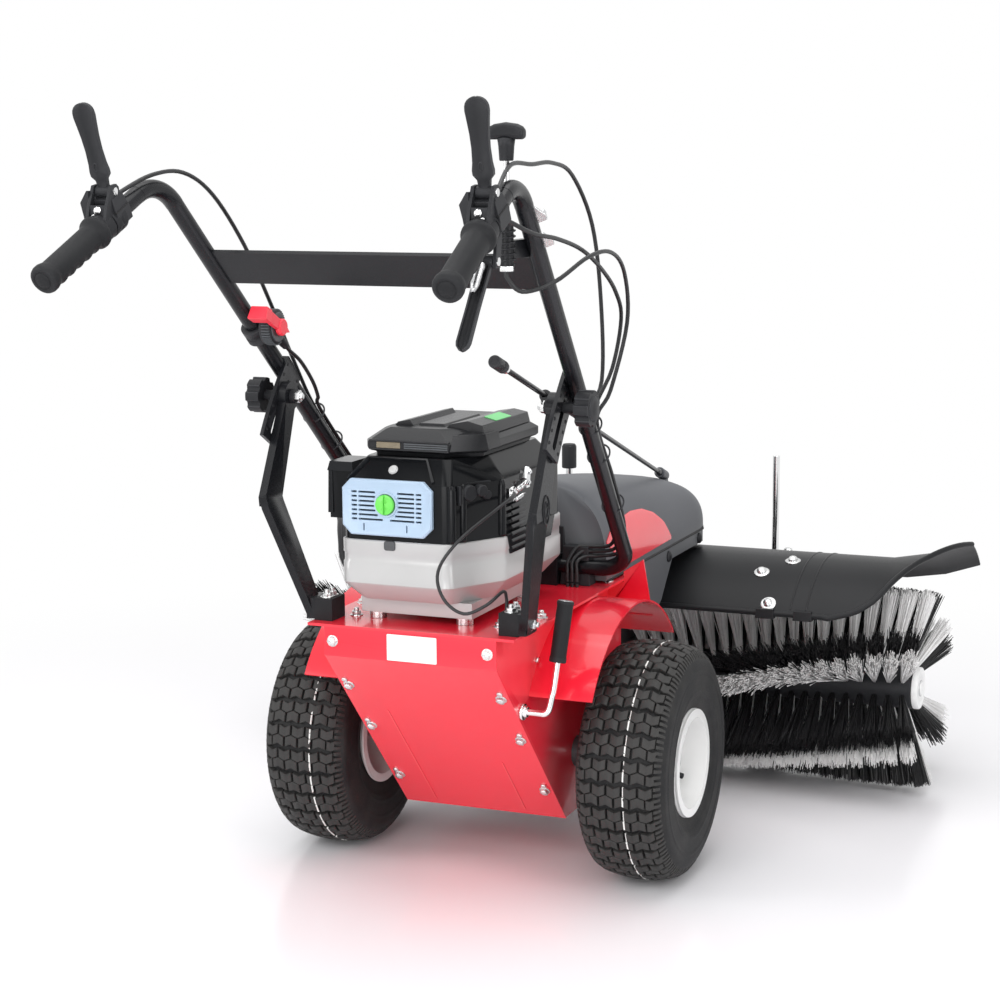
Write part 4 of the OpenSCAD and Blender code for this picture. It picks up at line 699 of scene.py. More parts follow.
def make_bristle_tree():
    """Rows of tufts wound round the brush core, each tuft a fan of strands."""
    g = Growth("bristle_rows", Rows="Int", Tufts="Int", Strands="Int", Centre="Vector", First="Float",
               Length="Float", Core="Float", Reach="Float", Phase="Float", Twist="Float", Fan="Float",
               Splay="Float", Seed="Int", Strand="Object", Finish="Material")
    index = g.add("GeometryNodeInputIndex").outputs[0]
    per_row = g.math("MULTIPLY", g.given["Tufts"], g.given["Strands"])
    count = g.math("MULTIPLY", per_row, g.given["Rows"])
    rank = g.math("FLOOR", g.math("DIVIDE", g.math("ADD", index, 0.5), g.given["Strands"]))
    tuft = g.math("FLOORED_MODULO", rank, g.given["Tufts"])
    row = g.math("FLOOR", g.math("DIVIDE", g.math("ADD", rank, 0.5), g.given["Tufts"]))
    along = g.math("DIVIDE", g.math("ADD", tuft, 0.5), g.given["Tufts"])
    step = g.math("DIVIDE", TAU, g.given["Rows"])
    angle = g.math("ADD", g.given["Phase"], g.math("ADD", g.math("MULTIPLY", row, step),
                                                   g.math("MULTIPLY", along, g.given["Twist"])))
    cos, sin = g.math("COSINE", angle), g.math("SINE", angle)
    radial = g.join(0.0, cos, sin)
    side = g.join(0.0, g.math("MULTIPLY", sin, -1.0), cos)
    # Each strand leans within its tuft's fan, more rarely the further out, and the outer tufts splay
    lean_side = g.math("MULTIPLY", g.given["Fan"],
                       g.math("ADD", g.chance(-0.6, 0.6, 1), g.chance(-0.6, 0.6, 2)))
    lean_along = g.math("MULTIPLY", g.given["Fan"],
                        g.math("ADD", g.chance(-0.42, 0.42, 3), g.chance(-0.42, 0.42, 4)))
    splay = g.math("MULTIPLY", g.given["Splay"], g.math("POWER", along, 4.0))
    way = g.vector("ADD", radial, g.vector("SCALE", side, lean_side))
    way = g.vector("ADD", way, g.join(g.math("ADD", lean_along, splay), 0.0, 0.0))
    foot = g.math("ADD", g.given["First"], g.math("MULTIPLY", g.given["Length"], along))
    # A strand's place in the hole of its tuft follows its lean, so that strands fan out and don't cross
    root = g.math("ADD", foot, g.math("MULTIPLY", lean_along, 0.036))
    place = g.vector("ADD", g.given["Centre"], g.join(root, 0.0, 0.0))
    place = g.vector("ADD", place, g.vector("SCALE", radial, g.given["Core"]))
    place = g.vector("ADD", place, g.vector("SCALE", side, g.math("MULTIPLY", lean_side, 0.030)))
    points = g.add("GeometryNodePoints", {"Count": count, "Position": place}).outputs[0]
    reach = g.math("MULTIPLY", g.math("SUBTRACT", g.given["Reach"], g.given["Core"]),
                   g.chance(0.93, 1.0, 5))
    strand = g.add("GeometryNodeObjectInfo", {"Object": g.given["Strand"]}).outputs["Geometry"]
    return g.close(points, strand, g.aimed(way), g.join(1.0, 1.0, reach))


ROW_TREE = make_row_tree()
FASTENER_TREE = make_fastener_tree()
BRISTLE_TREE = make_bristle_tree()


def row(name, shape, body, material, count, shift=(0, 0, 0), axis=Z_WAY, centre=(0, 0, 0), turn=0.0,
        stands_for=(), edge=0.0, sharp=38):
    """Copies of a shape in a row, or round an axis."""
    obj = shaped(name, shape, edge)
    ROW_TREE.on(obj, Count=count, Shift=tuple(Vector(shift) * MM), Centre=tuple(at(centre)), Axis=axis,
                Turn=math.radians(turn), Finish=material)
    even_shade(obj, sharp)
    return settle(obj, body, None, stands_for, sharp)


def fasteners(name, profiles, places, body, material, seed):
    """The same fastener at many places, each given as a point and the direction that it stands along.

    A fastener is turned from (radius, height) profiles, each with its own number of sides.
    """
    shape = Shape()
    for profile, sides in profiles:
        shape.lathe(profile, (0, MID_Y, 0), Z_WAY, sides)
    head = shaped(name + "_head", shape, 0.35, 40)
    mesh = bpy.data.meshes.new(name)
    mesh.from_pydata([at(p) for p, _ in places], [], [])
    ways = mesh.attributes.new("stands_along", "FLOAT_VECTOR", "POINT")
    for item, (_, way) in zip(ways.data, places):
        item.vector = Vector(way)
    obj = link_mesh(name, mesh)
    FASTENER_TREE.on(obj, Fastener=head, Seed=seed, Finish=material)
    bpy.data.objects.remove(head)
    settle(obj, body, sharp=34)


# ---------------------------------------------------------------- drive tyres

def make_tyre_line():
    """The tyre's outer section from the crown out to the bead, as (across, radius) points."""
    line = [(x, 190.5 - 5.5 * (x / 44.9) ** 2) for x in (0, 9, 18, 27, 36)]
    for middle, radius, r, first, last in ((39, 34, 151.5, 10, 90), (47, 26, 120, 90, 130)):
        for a in range(first, last + 1, 10):
            way = math.radians(a)
            line.append((middle + radius * math.sin(way), r + radius * math.cos(way)))
    return line + [(63.5, 90), (61, 79)]


TYRE_LINE = make_tyre_line()
TREAD_ROWS = 60


def on_tyre(across, around, depth=0.0):
    """A point of the right tyre, from its way across, its angle and its depth below the skin."""
    rest = abs(across)
    for (x0, r0), (x1, r1) in zip(TYRE_LINE, TYRE_LINE[1:]):
        step = math.hypot(x1 - x0, r1 - r0)
        if rest <= step:
            break
        rest -= step
    x = x0 + (x1 - x0) * rest / step - (r0 - r1) / step * depth
    r = r0 + (r1 - r0) * rest / step - (x1 - x0) / step * depth
    return Vector((WHEEL_X + math.copysign(x, across), r * math.cos(around), AXLE_Z + r * math.sin(around)))


def tread_block(shape, middle, around, width, length, point):
    """A chevron block of the tread; its middle runs ahead of its sides by point."""
    rings = []
    for depth, trim in ((8, -0.2), (1.0, 0.3), (0.0, 1.2)):
        w, h = width / 2 - trim, length / 2 - trim
        outline = [(-w, -h), (0, point - h), (w, -h), (w, h), (0, point + h), (-w, h)]
        rings.append([on_tyre(middle + u, around + v / 188, depth) for u, v in outline])
    shape.skin(rings, closed=True)
    shape.add(rings[-1], [(0, 1, 4, 5), (1, 2, 3, 4)])


def shoulder_lug(shape, side, around, start, length):
    """A tapered lug that runs from the tread over the shoulder."""
    rings = []
    for k in range(5):
        t = k / 4
        across = side * (start + length * t)
        half = (3.6 - 0.9 * t) / 178
        top = 0.4 + 2.6 * t * t
        rings.append([on_tyre(across, around - half, 8), on_tyre(across, around - half * 0.72, top),
                      on_tyre(across, around + half * 0.72, top), on_tyre(across, around + half, 8)])
    shape.skin(rings)
    shape.add(rings[0], [(0, 1, 2, 3)])
    shape.add(rings[-1], [(3, 2, 1, 0)])


def make_tyre(side):
    """One tyre: its carcass, and its tread as copies of one sector."""
    name = SIDE_NAME[side]
    node, body = "tyre_" + name, "wheel_" + name
    sector = Shape()
    pitch = TAU / TREAD_ROWS
    for middle in (-50, -25, 0, 25, 50):
        tread_block(sector, middle, 0, 21.6, 15.8, 4)
    for middle in (-37.5, -12.5, 12.5, 37.5):
        tread_block(sector, middle, pitch, 21.6, 15.8, -4)
    for edge_side in (-1, 1):
        tread_block(sector, edge_side * 57, pitch, 14, 15.8, 2)
        for k in range(4):
            shoulder_lug(sector, edge_side, (k - 0.5) * pitch / 2, 62, 24 if k % 2 else 19)
    carcass = Shape()
    section = []
    for k in range(56):
        across = 142 * k / 55
        deep = 7.0 if across < 62 else 7.0 * max(0, 1 - (across - 62) / 26) ** 1.5
        ridge = 1.1 if abs(across - 101) < 1.6 or abs(across - 126) < 1.6 else 0
        p = on_tyre(across, 0, deep - ridge)
        section.append((p.y, p.x - WHEEL_X))
    ring = [(r, -x) for r, x in reversed(section)] + section[1:]
    inside = [(77.5, 58), (90, 56), (150, 62), (168, 40), (172, 0), (168, -40), (150, -62), (90, -56),
              (77.5, -58)]
    ring += inside + ring[:1]
    carcass.lathe(ring, (WHEEL_X, 0, AXLE_Z), X_WAY, 96)
    piece(node + "_carcass", carcass.on(side), body, TYRE_RUBBER, (node,), sharp=50)
    row(node + "_tread", sector.on(side), body, TYRE_RUBBER, TREAD_ROWS // 2, axis=X_WAY,
        centre=(0, 0, AXLE_Z), turn=720 / TREAD_ROWS, stands_for=(node,), sharp=30)


for wheel_side in (-1, 1):
    make_tyre(wheel_side)


# ---------------------------------------------------------------- brush

def make_strand():
    """One bristle of unit length, standing on the origin."""
    thick, thin = 0.85, 0.62
    shape = Shape()
    corners = oval_of(1, 1, 3)
    ring = [(thick * x, MID_Y + thick * y, 0) for x, y in corners]
    ring += [(thin * x, MID_Y + thin * y, 1000) for x, y in corners]
    shape.add(ring, [(0, 1, 4, 3), (1, 2, 5, 4), (2, 0, 3, 5), (3, 4, 5)])
    return shaped("strand", shape)


def make_brush():
    """Both halves of the brush: bristles, sleeve and end cap."""
    strand = make_strand()
    first, length, core = 50, 508, 38
    for side, name in SIDE_NAME.items():
        node = "brush_" + name
        common = {"Centre": tuple(at((0, BRUSH_Y, BRUSH_Z))), "First": side * first * MM,
                  "Length": side * length * MM, "Core": (core - 1) * MM, "Twist": math.radians(-42),
                  "Splay": side * 0.30, "Strand": strand, "Rows": 6, "Tufts": 20}
        for kind, colour, strands, phase, fan, reach, seed in (
                ("white", BRISTLE_WHITE, 150, 131, 0.115, 183.5, 4),
                ("black", BRISTLE_BLACK, 190, 117, 0.135, 181.5, 8)):
            obj = link_mesh(node + "_" + kind + "_bristles", bpy.data.meshes.new(node + "_" + kind))
            BRISTLE_TREE.on(obj, Finish=colour, Strands=strands, Phase=math.radians(phase), Fan=fan,
                            Reach=reach * MM, Seed=seed, **common)
            settle(obj, "brush", None, (node,), sharp=60)
        sleeve = Shape().lathe([(35, 48), (core, 49), (core, 559), (36.5, 560), (34.2, 560), (34.2, 540)],
                               (0, BRUSH_Y, BRUSH_Z), (side, 0, 0), 48)
        piece(node + "_sleeve", sleeve, "brush", CONTROL_PLASTIC, (node,))
        end = [(34, 546), (34, 560.4), (37.2, 561), (38, 562.5), (38, 570.5), (36.5, 572), (22, 572.4),
               (21, 571), (13, 571), (12.5, 574)]
        cap = Shape().lathe(end, (0, BRUSH_Y, BRUSH_Z), (side, 0, 0), 48)
        piece(node + "_end_cap", cap, "brush", WHITE_PAINT)
    bpy.data.objects.remove(strand)


make_brush()


# ---------------------------------------------------------------- cables

CASE_TILT = math.atan2(GRIP_DIR.z, math.hypot(GRIP_DIR.x, GRIP_DIR.y))
CASE_OUT = Vector((0, math.cos(CASE_TILT), math.sin(CASE_TILT)))
CASE_UP = Vector((0, -math.sin(CASE_TILT), math.cos(CASE_TILT)))
CLAMP_LENGTH = 46
CONTROL_AT = GRIP_END + GRIP_DIR * 144
CASE_MIDDLE = CONTROL_AT + Vector((0, 14, 20))
CABLE_R = 3
CABLE_Y = TUBE_FOOT.y - 12.5 - CABLE_R - 4


def beside_leg(z, dx):
    """A point just ahead of the right tube's leg."""
    return on_leg(z) + Vector((dx, 12, 12))


def cable_foot(dx, x):
    """The last stretch of every cable, along the tube, round its foot and down to the deck."""
    y, z = TUBE_FOOT.y, TUBE_FOOT.z
    low = 8 - dx
    return [beside_leg(740, dx), beside_leg(640, dx), beside_leg(550, dx - 4),
            (182 + dx, y - 8, z + 32 + low * 0.6), (x + 32, y + 1, z + 20 + low * 0.9),
            (x + 12, y - 3, z + 19 + low * 0.9), (x, CABLE_Y + 3, z + 12), (x, CABLE_Y, z - 4),
            (x, CABLE_Y, z - 21)]


def deck_stub(x):
    """Where a cable goes on below the deck, to the drive case."""
    z = TUBE_FOOT.z
    return [(x, CABLE_Y, z - 24), (x, CABLE_Y, DECK_Z - 40), (x - 12, CABLE_Y - 10, DECK_Z - 90),
            (x - 34, 30, AXLE_Z + 120), (x - 40, 24, AXLE_Z + 84), (x - 40, 24, AXLE_Z + 62.4)]


def make_cable(name, route, body, node, radius=CABLE_R, side=1):
    route = [Vector(p) for p in route]
    if side < 0:
        route = [flip(p) for p in route]
    path = smooth_path(route, 6)
    obj = piece(name, Shape().tube(path, radius, 10), body, CABLE_SKIN, (node,), sharp=60)
    return path


CASE_EXIT = CASE_MIDDLE + CASE_OUT * 20.4 + CASE_UP * 8
CLAMP_EXIT = GRIP_END + GRIP_DIR * (128 + CLAMP_LENGTH + 1.8) + Vector((14, 0, 0)) - CASE_UP * 12
GUIDE_EXIT = Vector((240, -530, 999.7))
THROTTLE_AT = on_leg(886)
DIAL_IN = THROTTLE_AT.x - 12.5 - 22
BOOT_FROM = THROTTLE_AT + Vector((DIAL_IN + 9 - THROTTLE_AT.x, 14, -6))
BOOT_TO = THROTTLE_AT + Vector((DIAL_IN + 9 - THROTTLE_AT.x, 44, -26))
BOOT_DIR = (BOOT_TO - BOOT_FROM).normalized()
BOOT_EXIT = BOOT_TO + BOOT_DIR * 0.4


def make_cables():
    """Five control cables with their stubs, and the engine's cable."""
    over = [CASE_EXIT, CASE_EXIT + CASE_OUT * 14]
    left = over + [(256, -596, 1120), (252, -520, 1122), (246, -450, 1090), (242, -369, 1015),
                   (238, -296, 920), (234, -232, 826)]
    pull = over + [(262, -570, 1132), (255, -477, 1132), (250, -390, 1133), (245, -299, 1115),
                   (240, -203, 1042), (238, -160, 930), (236, -150, 810)]
    clutch = [CLAMP_EXIT, CLAMP_EXIT + GRIP_DIR * 14, (300, -590, 1046), (305, -515, 1036),
              (305, -421, 1017), (300, -327, 985), (288, -236, 948), (276, -178, 905), (258, -166, 830)]
    guide = [GUIDE_EXIT, GUIDE_EXIT - Vector((0, 0, 14)), (256, -516, 966), (290, -484, 978),
             (314, -420, 1008), (318, -340, 1010), (306, -250, 976), (288, -186, 900), (262, -184, 800)]
    throttle = [BOOT_EXIT, BOOT_EXIT + BOOT_DIR * 14, (215, -250, 833), (214, -215, 800), (217, -192, 774)]
    for name, route, dx, x, side in (
            ("left_lever_cable", left, 0, 112, -1), ("throttle_cable", throttle, -8, 104, -1),
            ("right_lever_cable", pull, -8, 104, 1), ("lower_lever_cable", clutch, 0, 112, 1),
            ("pull_handle_cable", guide, 8, 120, 1)):
        make_cable(name, route + cable_foot(dx, x), "handlebar", "cables_handlebar", side=side)
        make_cable(name + "_stub", deck_stub(x), "chassis", "cables_chassis", side=side)
    make_cable("engine_cable", [(107.3, -206, 640), (120, -214, 640), (116, -270, 628), (84, -340, 590),
                                (56, -352, 545), (64, -352, 505), (94, -348, 484), (124, -334, 496),
                                (139, -306, 512), (140, -295, 500), (140, -295, DECK_Z + 34.4)],
               "chassis", "cables_chassis", 2.5)


make_cables()


# ---------------------------------------------------------------- grips and hand levers

LEVER_PIN = CONTROL_AT + Vector((0, 6, 45))
LOW_PIN = CONTROL_AT + Vector((0, 8, -40))
LEVER_LEAN, LEFT_LEAN_OUT, LOW_LEAN = 14, 7, 37


def make_grip(side):
    """A rubber grip that is smooth on top and has finger rests below."""
    ends = [(4, -6.2), (10.5, -6.2), (11.2, -5.2), (12.6, -5.2), (13.4, -6.2), (17, -5.4), (19.2, -3.4),
            (20.2, 0), (20.2, 5), (19.2, 9)]
    waist = [(18.2, t) for t in range(12, 114, 3)]
    collar = [(19, 115), (21.4, 118), (23, 120.5), (23.4, 124), (22.8, 127), (21.5, 128), (13, 128)]

    def rests(t, way):
        if not 12 <= t <= 114:
            return 0.0
        return 2.6 * (0.5 - 0.5 * math.cos(TAU * (t - 14) / 20)) * max(0, -way.dot(CASE_UP)) ** 1.3 - 0.5

    shape = Shape().lathe(ends + waist + collar, GRIP_END, GRIP_DIR, 40, rests)
    name = "grip_" + SIDE_NAME[side]
    piece(name + "_rubber", shape.on(side), "handlebar", GRIP_RUBBER, (name,), sharp=50)


def lever_blade(rows, place):
    """A pressed lever of channel section, from (distance, half width, depth) rows."""
    rings = []
    for s, w, d in rows:
        inner = max(w - 2.4, w * 0.5)
        lip = min(2.6, w * 0.4)
        ring = [(-w, d), (-w, -d * 0.35), (-w + lip, -d * 0.9), (0, -d * 1.08), (w - lip, -d * 0.9),
                (w, -d * 0.35), (w, d), (inner, d), (inner - 0.6, -d * 0.1), (0, -d * 0.3),
                (-inner + 0.6, -d * 0.1), (-inner, d)]
        rings.append([place((x, y, s)) for x, y in ring])
    return closed_skin(rings)


def lever_frame(pin, lean, out=0.0, side=1):
    """Axes of a lever: across, through its thickness and along it."""
    turn = Matrix.Rotation(math.radians(lean), 3, "X") @ Matrix.Rotation(math.radians(out), 3, "Y")
    place = axes(pin, *(turn @ Vector(way) for way in (X_WAY, Y_WAY, Z_WAY)))
    return place if side > 0 else (lambda p: flip(place(p)))


LEVER_ROWS = [(-2, 7.4, 4.2), (9, 7.8, 4.6), (16, 8.6, 5), (22, 13.8, 5.2), (28, 14.2, 5.2), (38, 12.6, 5),
              (56, 11.8, 4.8), (74, 12.6, 4.7), (90, 14.4, 4.6), (102, 15.9, 4.5), (108, 15.6, 4.4),
              (112, 14.4, 4.2), (115.5, 12, 3.9), (118, 8.8, 3.5), (119.4, 5.4, 3.2), (120, 1.6, 3)]
LOW_ROWS = [(-2, 8.6, 3.9), (8, 8.8, 4.2), (16, 9.6, 4.6), (40, 9.2, 4.6), (70, 9, 4.4), (100, 9.4, 4.3),
            (120, 9.6, 4.2), (126, 8.2, 4), (129.4, 5.4, 3.6), (130.8, 1.8, 3.2)]


def make_levers():
    """Both upright hand levers and the lower one on the right."""
    for side, name, out in ((-1, "lever_left", LEFT_LEAN_OUT), (1, "lever_right", 0)):
        place = lever_frame(LEVER_PIN, LEVER_LEAN, out, side)
        shape = lever_blade(LEVER_ROWS, place)
        shape.lathe([(3.3, -10.6), (7.8, -10.6), (8, -10.2), (8, 10.2), (7.8, 10.6), (3.3, 10.6)],
                    place((0, 0, 0)), X_WAY, 28)
        # Pressed oval below the middle of the blade
        oval = oval_of(3.4, 6.6, 20)
        ridge = [place((x * k, -5.0 - h, 34 + y * k))
                 for h, k in ((0, 1.0), (0.9, 0.9), (0.9, 0.7), (0.1, 0.6)) for x, y in oval]
        shape.skin([ridge[i:i + 20] for i in range(0, 80, 20)], closed=True)
        piece(name + "_blade", shape, name, CONTROL_PLASTIC, (name,), sharp=42)
    place = lever_frame(LOW_PIN, 180 - LOW_LEAN)
    shape = lever_blade(LOW_ROWS, place)
    shape.lathe([(3.3, -10.6), (7.8, -10.6), (7.8, 10.6), (3.3, 10.6)], LOW_PIN, X_WAY, 28)
    piece("lower_lever_blade", shape, "lower_lever", CONTROL_PLASTIC, ("lower_lever",), sharp=42)
    along = (place(Z_WAY) - place((0, 0, 0))).normalized()
    barrel = [(2, 8), (6.4, 8), (7, 9), (7, 16), (6.2, 17), (6.2, 38), (5.4, 42), (3, 50), (1, 50)]
    piece("lower_lever_adjuster", Shape().lathe(barrel, place((-2, 9.4, 2)), along, 24), "lower_lever",
          STEEL)


def make_control(side):
    """Lever perch and switch case, clamped on the tube between the grip and the bend."""
    name = "control_" + SIDE_NAME[side]
    shape = Shape()
    perch = [(13, 128.6), (19.5, 128.6), (20.6, 129.6), (20.6, 145), (19.8, 146), (13, 146)]
    clamp = [(13, 147.4), (20.4, 147.4), (21.5, 148.4), (21.5, 158), (20.2, 159.2), (20.2, 162),
             (21.5, 163.2), (21.5, 173.2), (20, 174.4), (13, 174.4)]
    for profile in (perch, clamp):
        shape.lathe(profile, GRIP_END, GRIP_DIR, 36)
    case = axes(CASE_MIDDLE, X_WAY, CASE_OUT, CASE_UP)
    shape.box((-21, -14, -20), (21, 20, 2), case)
    shape.box((-20, -13, 2), (20, 19.6, 20), case, inset=3)
    shape.box((-17, -19.6, -6), (17, -13, 12), case, inset=1.5)
    shape.box((9, -8, 20), (18, 10, 23.4), case, inset=1)
    # Cheeks beside the lever's root, with a wing on the outside
    cheek = [(CONTROL_AT.y - 20, CONTROL_AT.z + 4), (CONTROL_AT.y + 22, CONTROL_AT.z + 22),
             (LEVER_PIN.y + 10, LEVER_PIN.z + 6), (LEVER_PIN.y + 4, LEVER_PIN.z + 10),
             (LEVER_PIN.y - 8, LEVER_PIN.z + 8), (CONTROL_AT.y - 14, CONTROL_AT.z + 26)]
    for s in (-1, 1):
        shape.prism(cheek, -2.4, 2.4, side_frame((CONTROL_AT.x + s * 13.6, 0, 0)))
    wing = [(-16, 18), (-16, 46), (-19, 46), (-29, 30), (-24, 12), (-22, 2)]
    face = axes(CONTROL_AT + Vector((0, -8, 0)), (side, 0, 0), Z_WAY, Y_WAY)
    shape.prism(wing, -2, 5, face)
    shape.box((-11.2, -14, 6), (11.2, -6, 27), axes(CONTROL_AT, X_WAY, Y_WAY, Z_WAY))
    if side > 0:
        low = [(LOW_PIN.y - 8, LOW_PIN.z - 8), (LOW_PIN.y + 8, LOW_PIN.z - 8),
               (CONTROL_AT.y + 22, CONTROL_AT.z - 6), (CONTROL_AT.y + 6, CONTROL_AT.z - 6)]
        for s in (-1, 1):
            shape.prism(low, -2.4, 2.4, side_frame((CONTROL_AT.x + s * 13.6, 0, 0)))
    piece(name + "_housing", shape.on(side), "handlebar", CONTROL_PLASTIC, (name,), edge=0.9)
    # Painted shade in the case's two slots and along its seam.
    slots = Shape()
    for x in (-7, 5):
        slots.box((x - 1.4, -20.1, -1), (x + 1.4, -18, 7), case)
    slots.box((-21.2, -14.3, 1.2), (21.2, 20.2, 2.6), case)
    piece(name + "_recesses", slots.on(side), "handlebar", SHADOW_BLACK)
    pins = Shape()
    for pin in (LEVER_PIN,) if side < 0 else (LEVER_PIN, LOW_PIN):
        pins.lathe([(1, -18.4), (3.6, -18.4), (5.4, -17.4), (5.6, -15.9), (2.9, -15.9), (2.9, 15.9),
                    (5.6, 15.9), (5.4, 17.4), (3, 18.4), (1, 18.4)], pin, X_WAY, 20)
    pins.lathe([(1, 0), (5.6, 0), (5.6, 2), (4.4, 4.4), (2, 5.4), (0.5, 5.4)],
               CONTROL_AT + Vector((-1, -14, 20)), (0, -1, 0.2), 18)
    pins.lathe([(1, 0), (4.2, 0), (4.2, 2), (3.2, 3.6), (0.5, 4)], CONTROL_AT + Vector((5, -14, 11)),
               (0, -1, 0.1), 18)
    piece(name + "_pins", pins.on(side), "handlebar", CHROME)
    ferrule = Shape().lathe([(1, -2), (5, -2), (5.2, -1), (5.2, 5), (4.2, 7), (4.2, 9.4), (3.3, 9.6)],
                            CASE_EXIT, CASE_OUT, 20)
    piece(name + "_ferrule", ferrule.on(side), "handlebar", WHITE_PATCH)


for handle_side in (-1, 1):
    make_grip(handle_side)
    make_control(handle_side)
make_levers()


# ---------------------------------------------------------------- pull handle and throttle

PULL_AT = Vector((240, -530, 0))
THUMB_RISE = 24


def make_pull_handle():
    """Pull handle with its rod, spring and nut, and the cable brackets below it."""
    rod = Shape().lathe([(1, 1006), (3.6, 1005), (4, 1006), (4, 1150), (1, 1150)], PULL_AT, Z_WAY, 20)
    piece("pull_handle_rod", rod, "t_handle", CHROME, ("t_handle",))
    shape = Shape()
    shape.lathe([(4.2, 1137), (8.6, 1137), (9.4, 1138.4), (10.6, 1156), (12, 1166), (6, 1168)], PULL_AT,
                Z_WAY, 28)
    rings = []
    for x, h, d in ((-25.5, 3, 4), (-25, 6, 7), (-22, 8.6, 9.4), (-15, 10.2, 10.4), (0, 11, 10.8),
                    (15, 10.2, 10.4), (22, 8.6, 9.4), (25, 6, 7), (25.5, 3, 4)):
        lift = 1176 - 0.006 * x * x
        ring = [(d * math.copysign(abs(math.cos(a)) ** 0.7, math.cos(a)),
                 h * math.copysign(abs(math.sin(a)) ** 0.7, math.sin(a)))
                for a in (TAU * k / 24 for k in range(24))]
        rings.append([PULL_AT + Vector((x, u, lift + v)) for u, v in ring])
    shape.take(closed_skin(rings))
    piece("pull_handle_bar", shape, "t_handle", CONTROL_PLASTIC, ("t_handle",), sharp=48)
    spring = [PULL_AT + Vector((10.6 * math.cos(TAU * t), 10.6 * math.sin(TAU * t), 1002 + 7.4 * t))
              for t in (k / 14 for k in range(14 * 7 + 1))]
    piece("pull_handle_spring", Shape().tube(spring, 1.5, 8), "handlebar", BLACK_PAINT, sharp=60)
    nut = Shape().lathe([(5, 993), (9.6, 993), (10.4, 994), (10.4, 1000.4), (5, 1000.4)], PULL_AT,
                        Z_WAY, 6)
    piece("pull_guide_nut", nut, "handlebar", ZINC, edge=0.6)
    # Cable brackets on the outside of the right tube
    brackets = Shape()
    up = -LEG_DIR
    for z in (1064, 1030):
        across = axes(on_leg(z), X_WAY, up, Vector(X_WAY).cross(up))
        brackets.prism([(11, 17), (15, 17), (27, 3), (27, -5), (11, -13)], -3, 0, across)
        brackets.lathe([(1, 0), (5.4, 0), (5.4, 5), (4.4, 5.8), (3, 5.8), (3, 8), (1, 8)],
                       across((20, 1, -3)), across((0, 0, -1)) - across((0, 0, 0)), 6)
    piece("cable_brackets", brackets, "handlebar", ZINC, edge=0.5)


def make_throttle():
    """Throttle dial on the left tube, with its red thumb lever."""
    dial = flip((DIAL_IN, THROTTLE_AT.y + 6, THROTTLE_AT.z + 6))
    tube_at, leg = flip(THROTTLE_AT), flip(LEG_DIR)
    body = Shape()
    body.lathe([(13, -14), (18.4, -14), (19.5, -13), (19.5, -3), (18.4, -2), (18.4, 2), (19.5, 3),
                (19.5, 13), (18.4, 14), (13, 14)], tube_at, leg, 32)
    body.lathe([(20, -21), (26, -20), (26, -4), (24, -2), (22, -0.6), (8, -0.6), (7, -1.6), (5.6, -1.6)],
               dial, X_WAY, 48)
    body.lathe([(2, -4), (8.4, -4), (8.4, 6), (7.6, 8), (8, 10), (7.2, 13), (7.6, 16), (6.8, 19), (7, 24),
                (6, 34.6), (3.4, 36)], flip(BOOT_FROM), flip(BOOT_DIR), 24)
    piece("throttle_case", body, "handlebar", CONTROL_PLASTIC, ("throttle_body",), sharp=40)
    tooth = Shape().box((dial.x - 16, dial.y - 1.3, dial.z + 25.2),
                        (dial.x - 2.6, dial.y + 1.3, dial.z + 27.4), inset=0.4)
    row("throttle_dial_teeth", tooth, "handlebar", DIAL_GREY, 40, axis=X_WAY, centre=dial, turn=9)
    plate = Shape().lathe([(6, -0.8), (6, 0.3), (21.4, 0.3), (22.2, -0.8)], dial, X_WAY, 40)
    piece("throttle_dial_plate", plate, "handlebar", DIAL_GREY)
    # The lever: a pointer across the dial and a broad thumb block behind it
    lever = Shape()
    lean = math.radians(THUMB_RISE)
    place = axes(dial, X_WAY, (0, -math.cos(lean), math.sin(lean)), (0, math.sin(lean), math.cos(lean)))
    lever.lathe([(1, -10), (4.8, -10), (4.8, 0.6), (12.4, 0.6), (12.8, 1.4), (12.8, 7), (11.6, 9), (1, 9)],
                dial, X_WAY, 32)
    wedge = [(-24, 0), (-8, 7.5), (30, 10), (46, 11), (46, -7), (30, -8), (-8, -7)]
    lever.prism(wedge, 1, 7.5, axes(dial, place(Y_WAY) - dial, place(Z_WAY) - dial, X_WAY),
                inset=1)
    lever.box((-21, 40, -8), (10, 60, 12), place, inset=2)
    piece("throttle_thumb_lever", lever, "throttle_lever", SIGNAL_RED, ("throttle_lever",), edge=1.2)


make_pull_handle()
make_throttle()


# ---------------------------------------------------------------- engine

ENGINE_REAR, ENGINE_FRONT, ENGINE_CORNER = -320, 20, 18
GRILLE_AT = Vector((-39, -325, 628))
SLOPE_OUT = Vector((0, -0.8, 0.6))


def engine_ring(inset, z, steps=5):
    """The engine's plan outline, drawn in by an inset, with round corners."""
    i = inset + ENGINE_CORNER
    corners = [(-120 + i, ENGINE_REAR + i), (54.8 - i * 0.4, ENGINE_REAR + i), (110 - i, -223.4 + i * 0.2),
               (110 - i, ENGINE_FRONT - i), (-120 + i, ENGINE_FRONT - i)]
    ring = []
    for k, (x, y) in enumerate(corners):
        before, after = corners[k - 1], corners[(k + 1) % len(corners)]
        first = math.atan2(y - before[1], x - before[0]) - math.pi / 2
        last = math.atan2(after[1] - y, after[0] - x) - math.pi / 2
        turn = (last - first) % TAU
        for n in range(steps + 1):
            a = first + turn * n / steps
            ring.append(Vector((x + ENGINE_CORNER * math.cos(a), y + ENGINE_CORNER * math.sin(a), z)))
    return ring


def cut(obj, cutter):
    """Takes one mesh out of another."""
    bake(obj, ("BOOLEAN", {"operation": "DIFFERENCE", "solver": "EXACT", "object": cutter}))
    bpy.data.objects.remove(cutter)


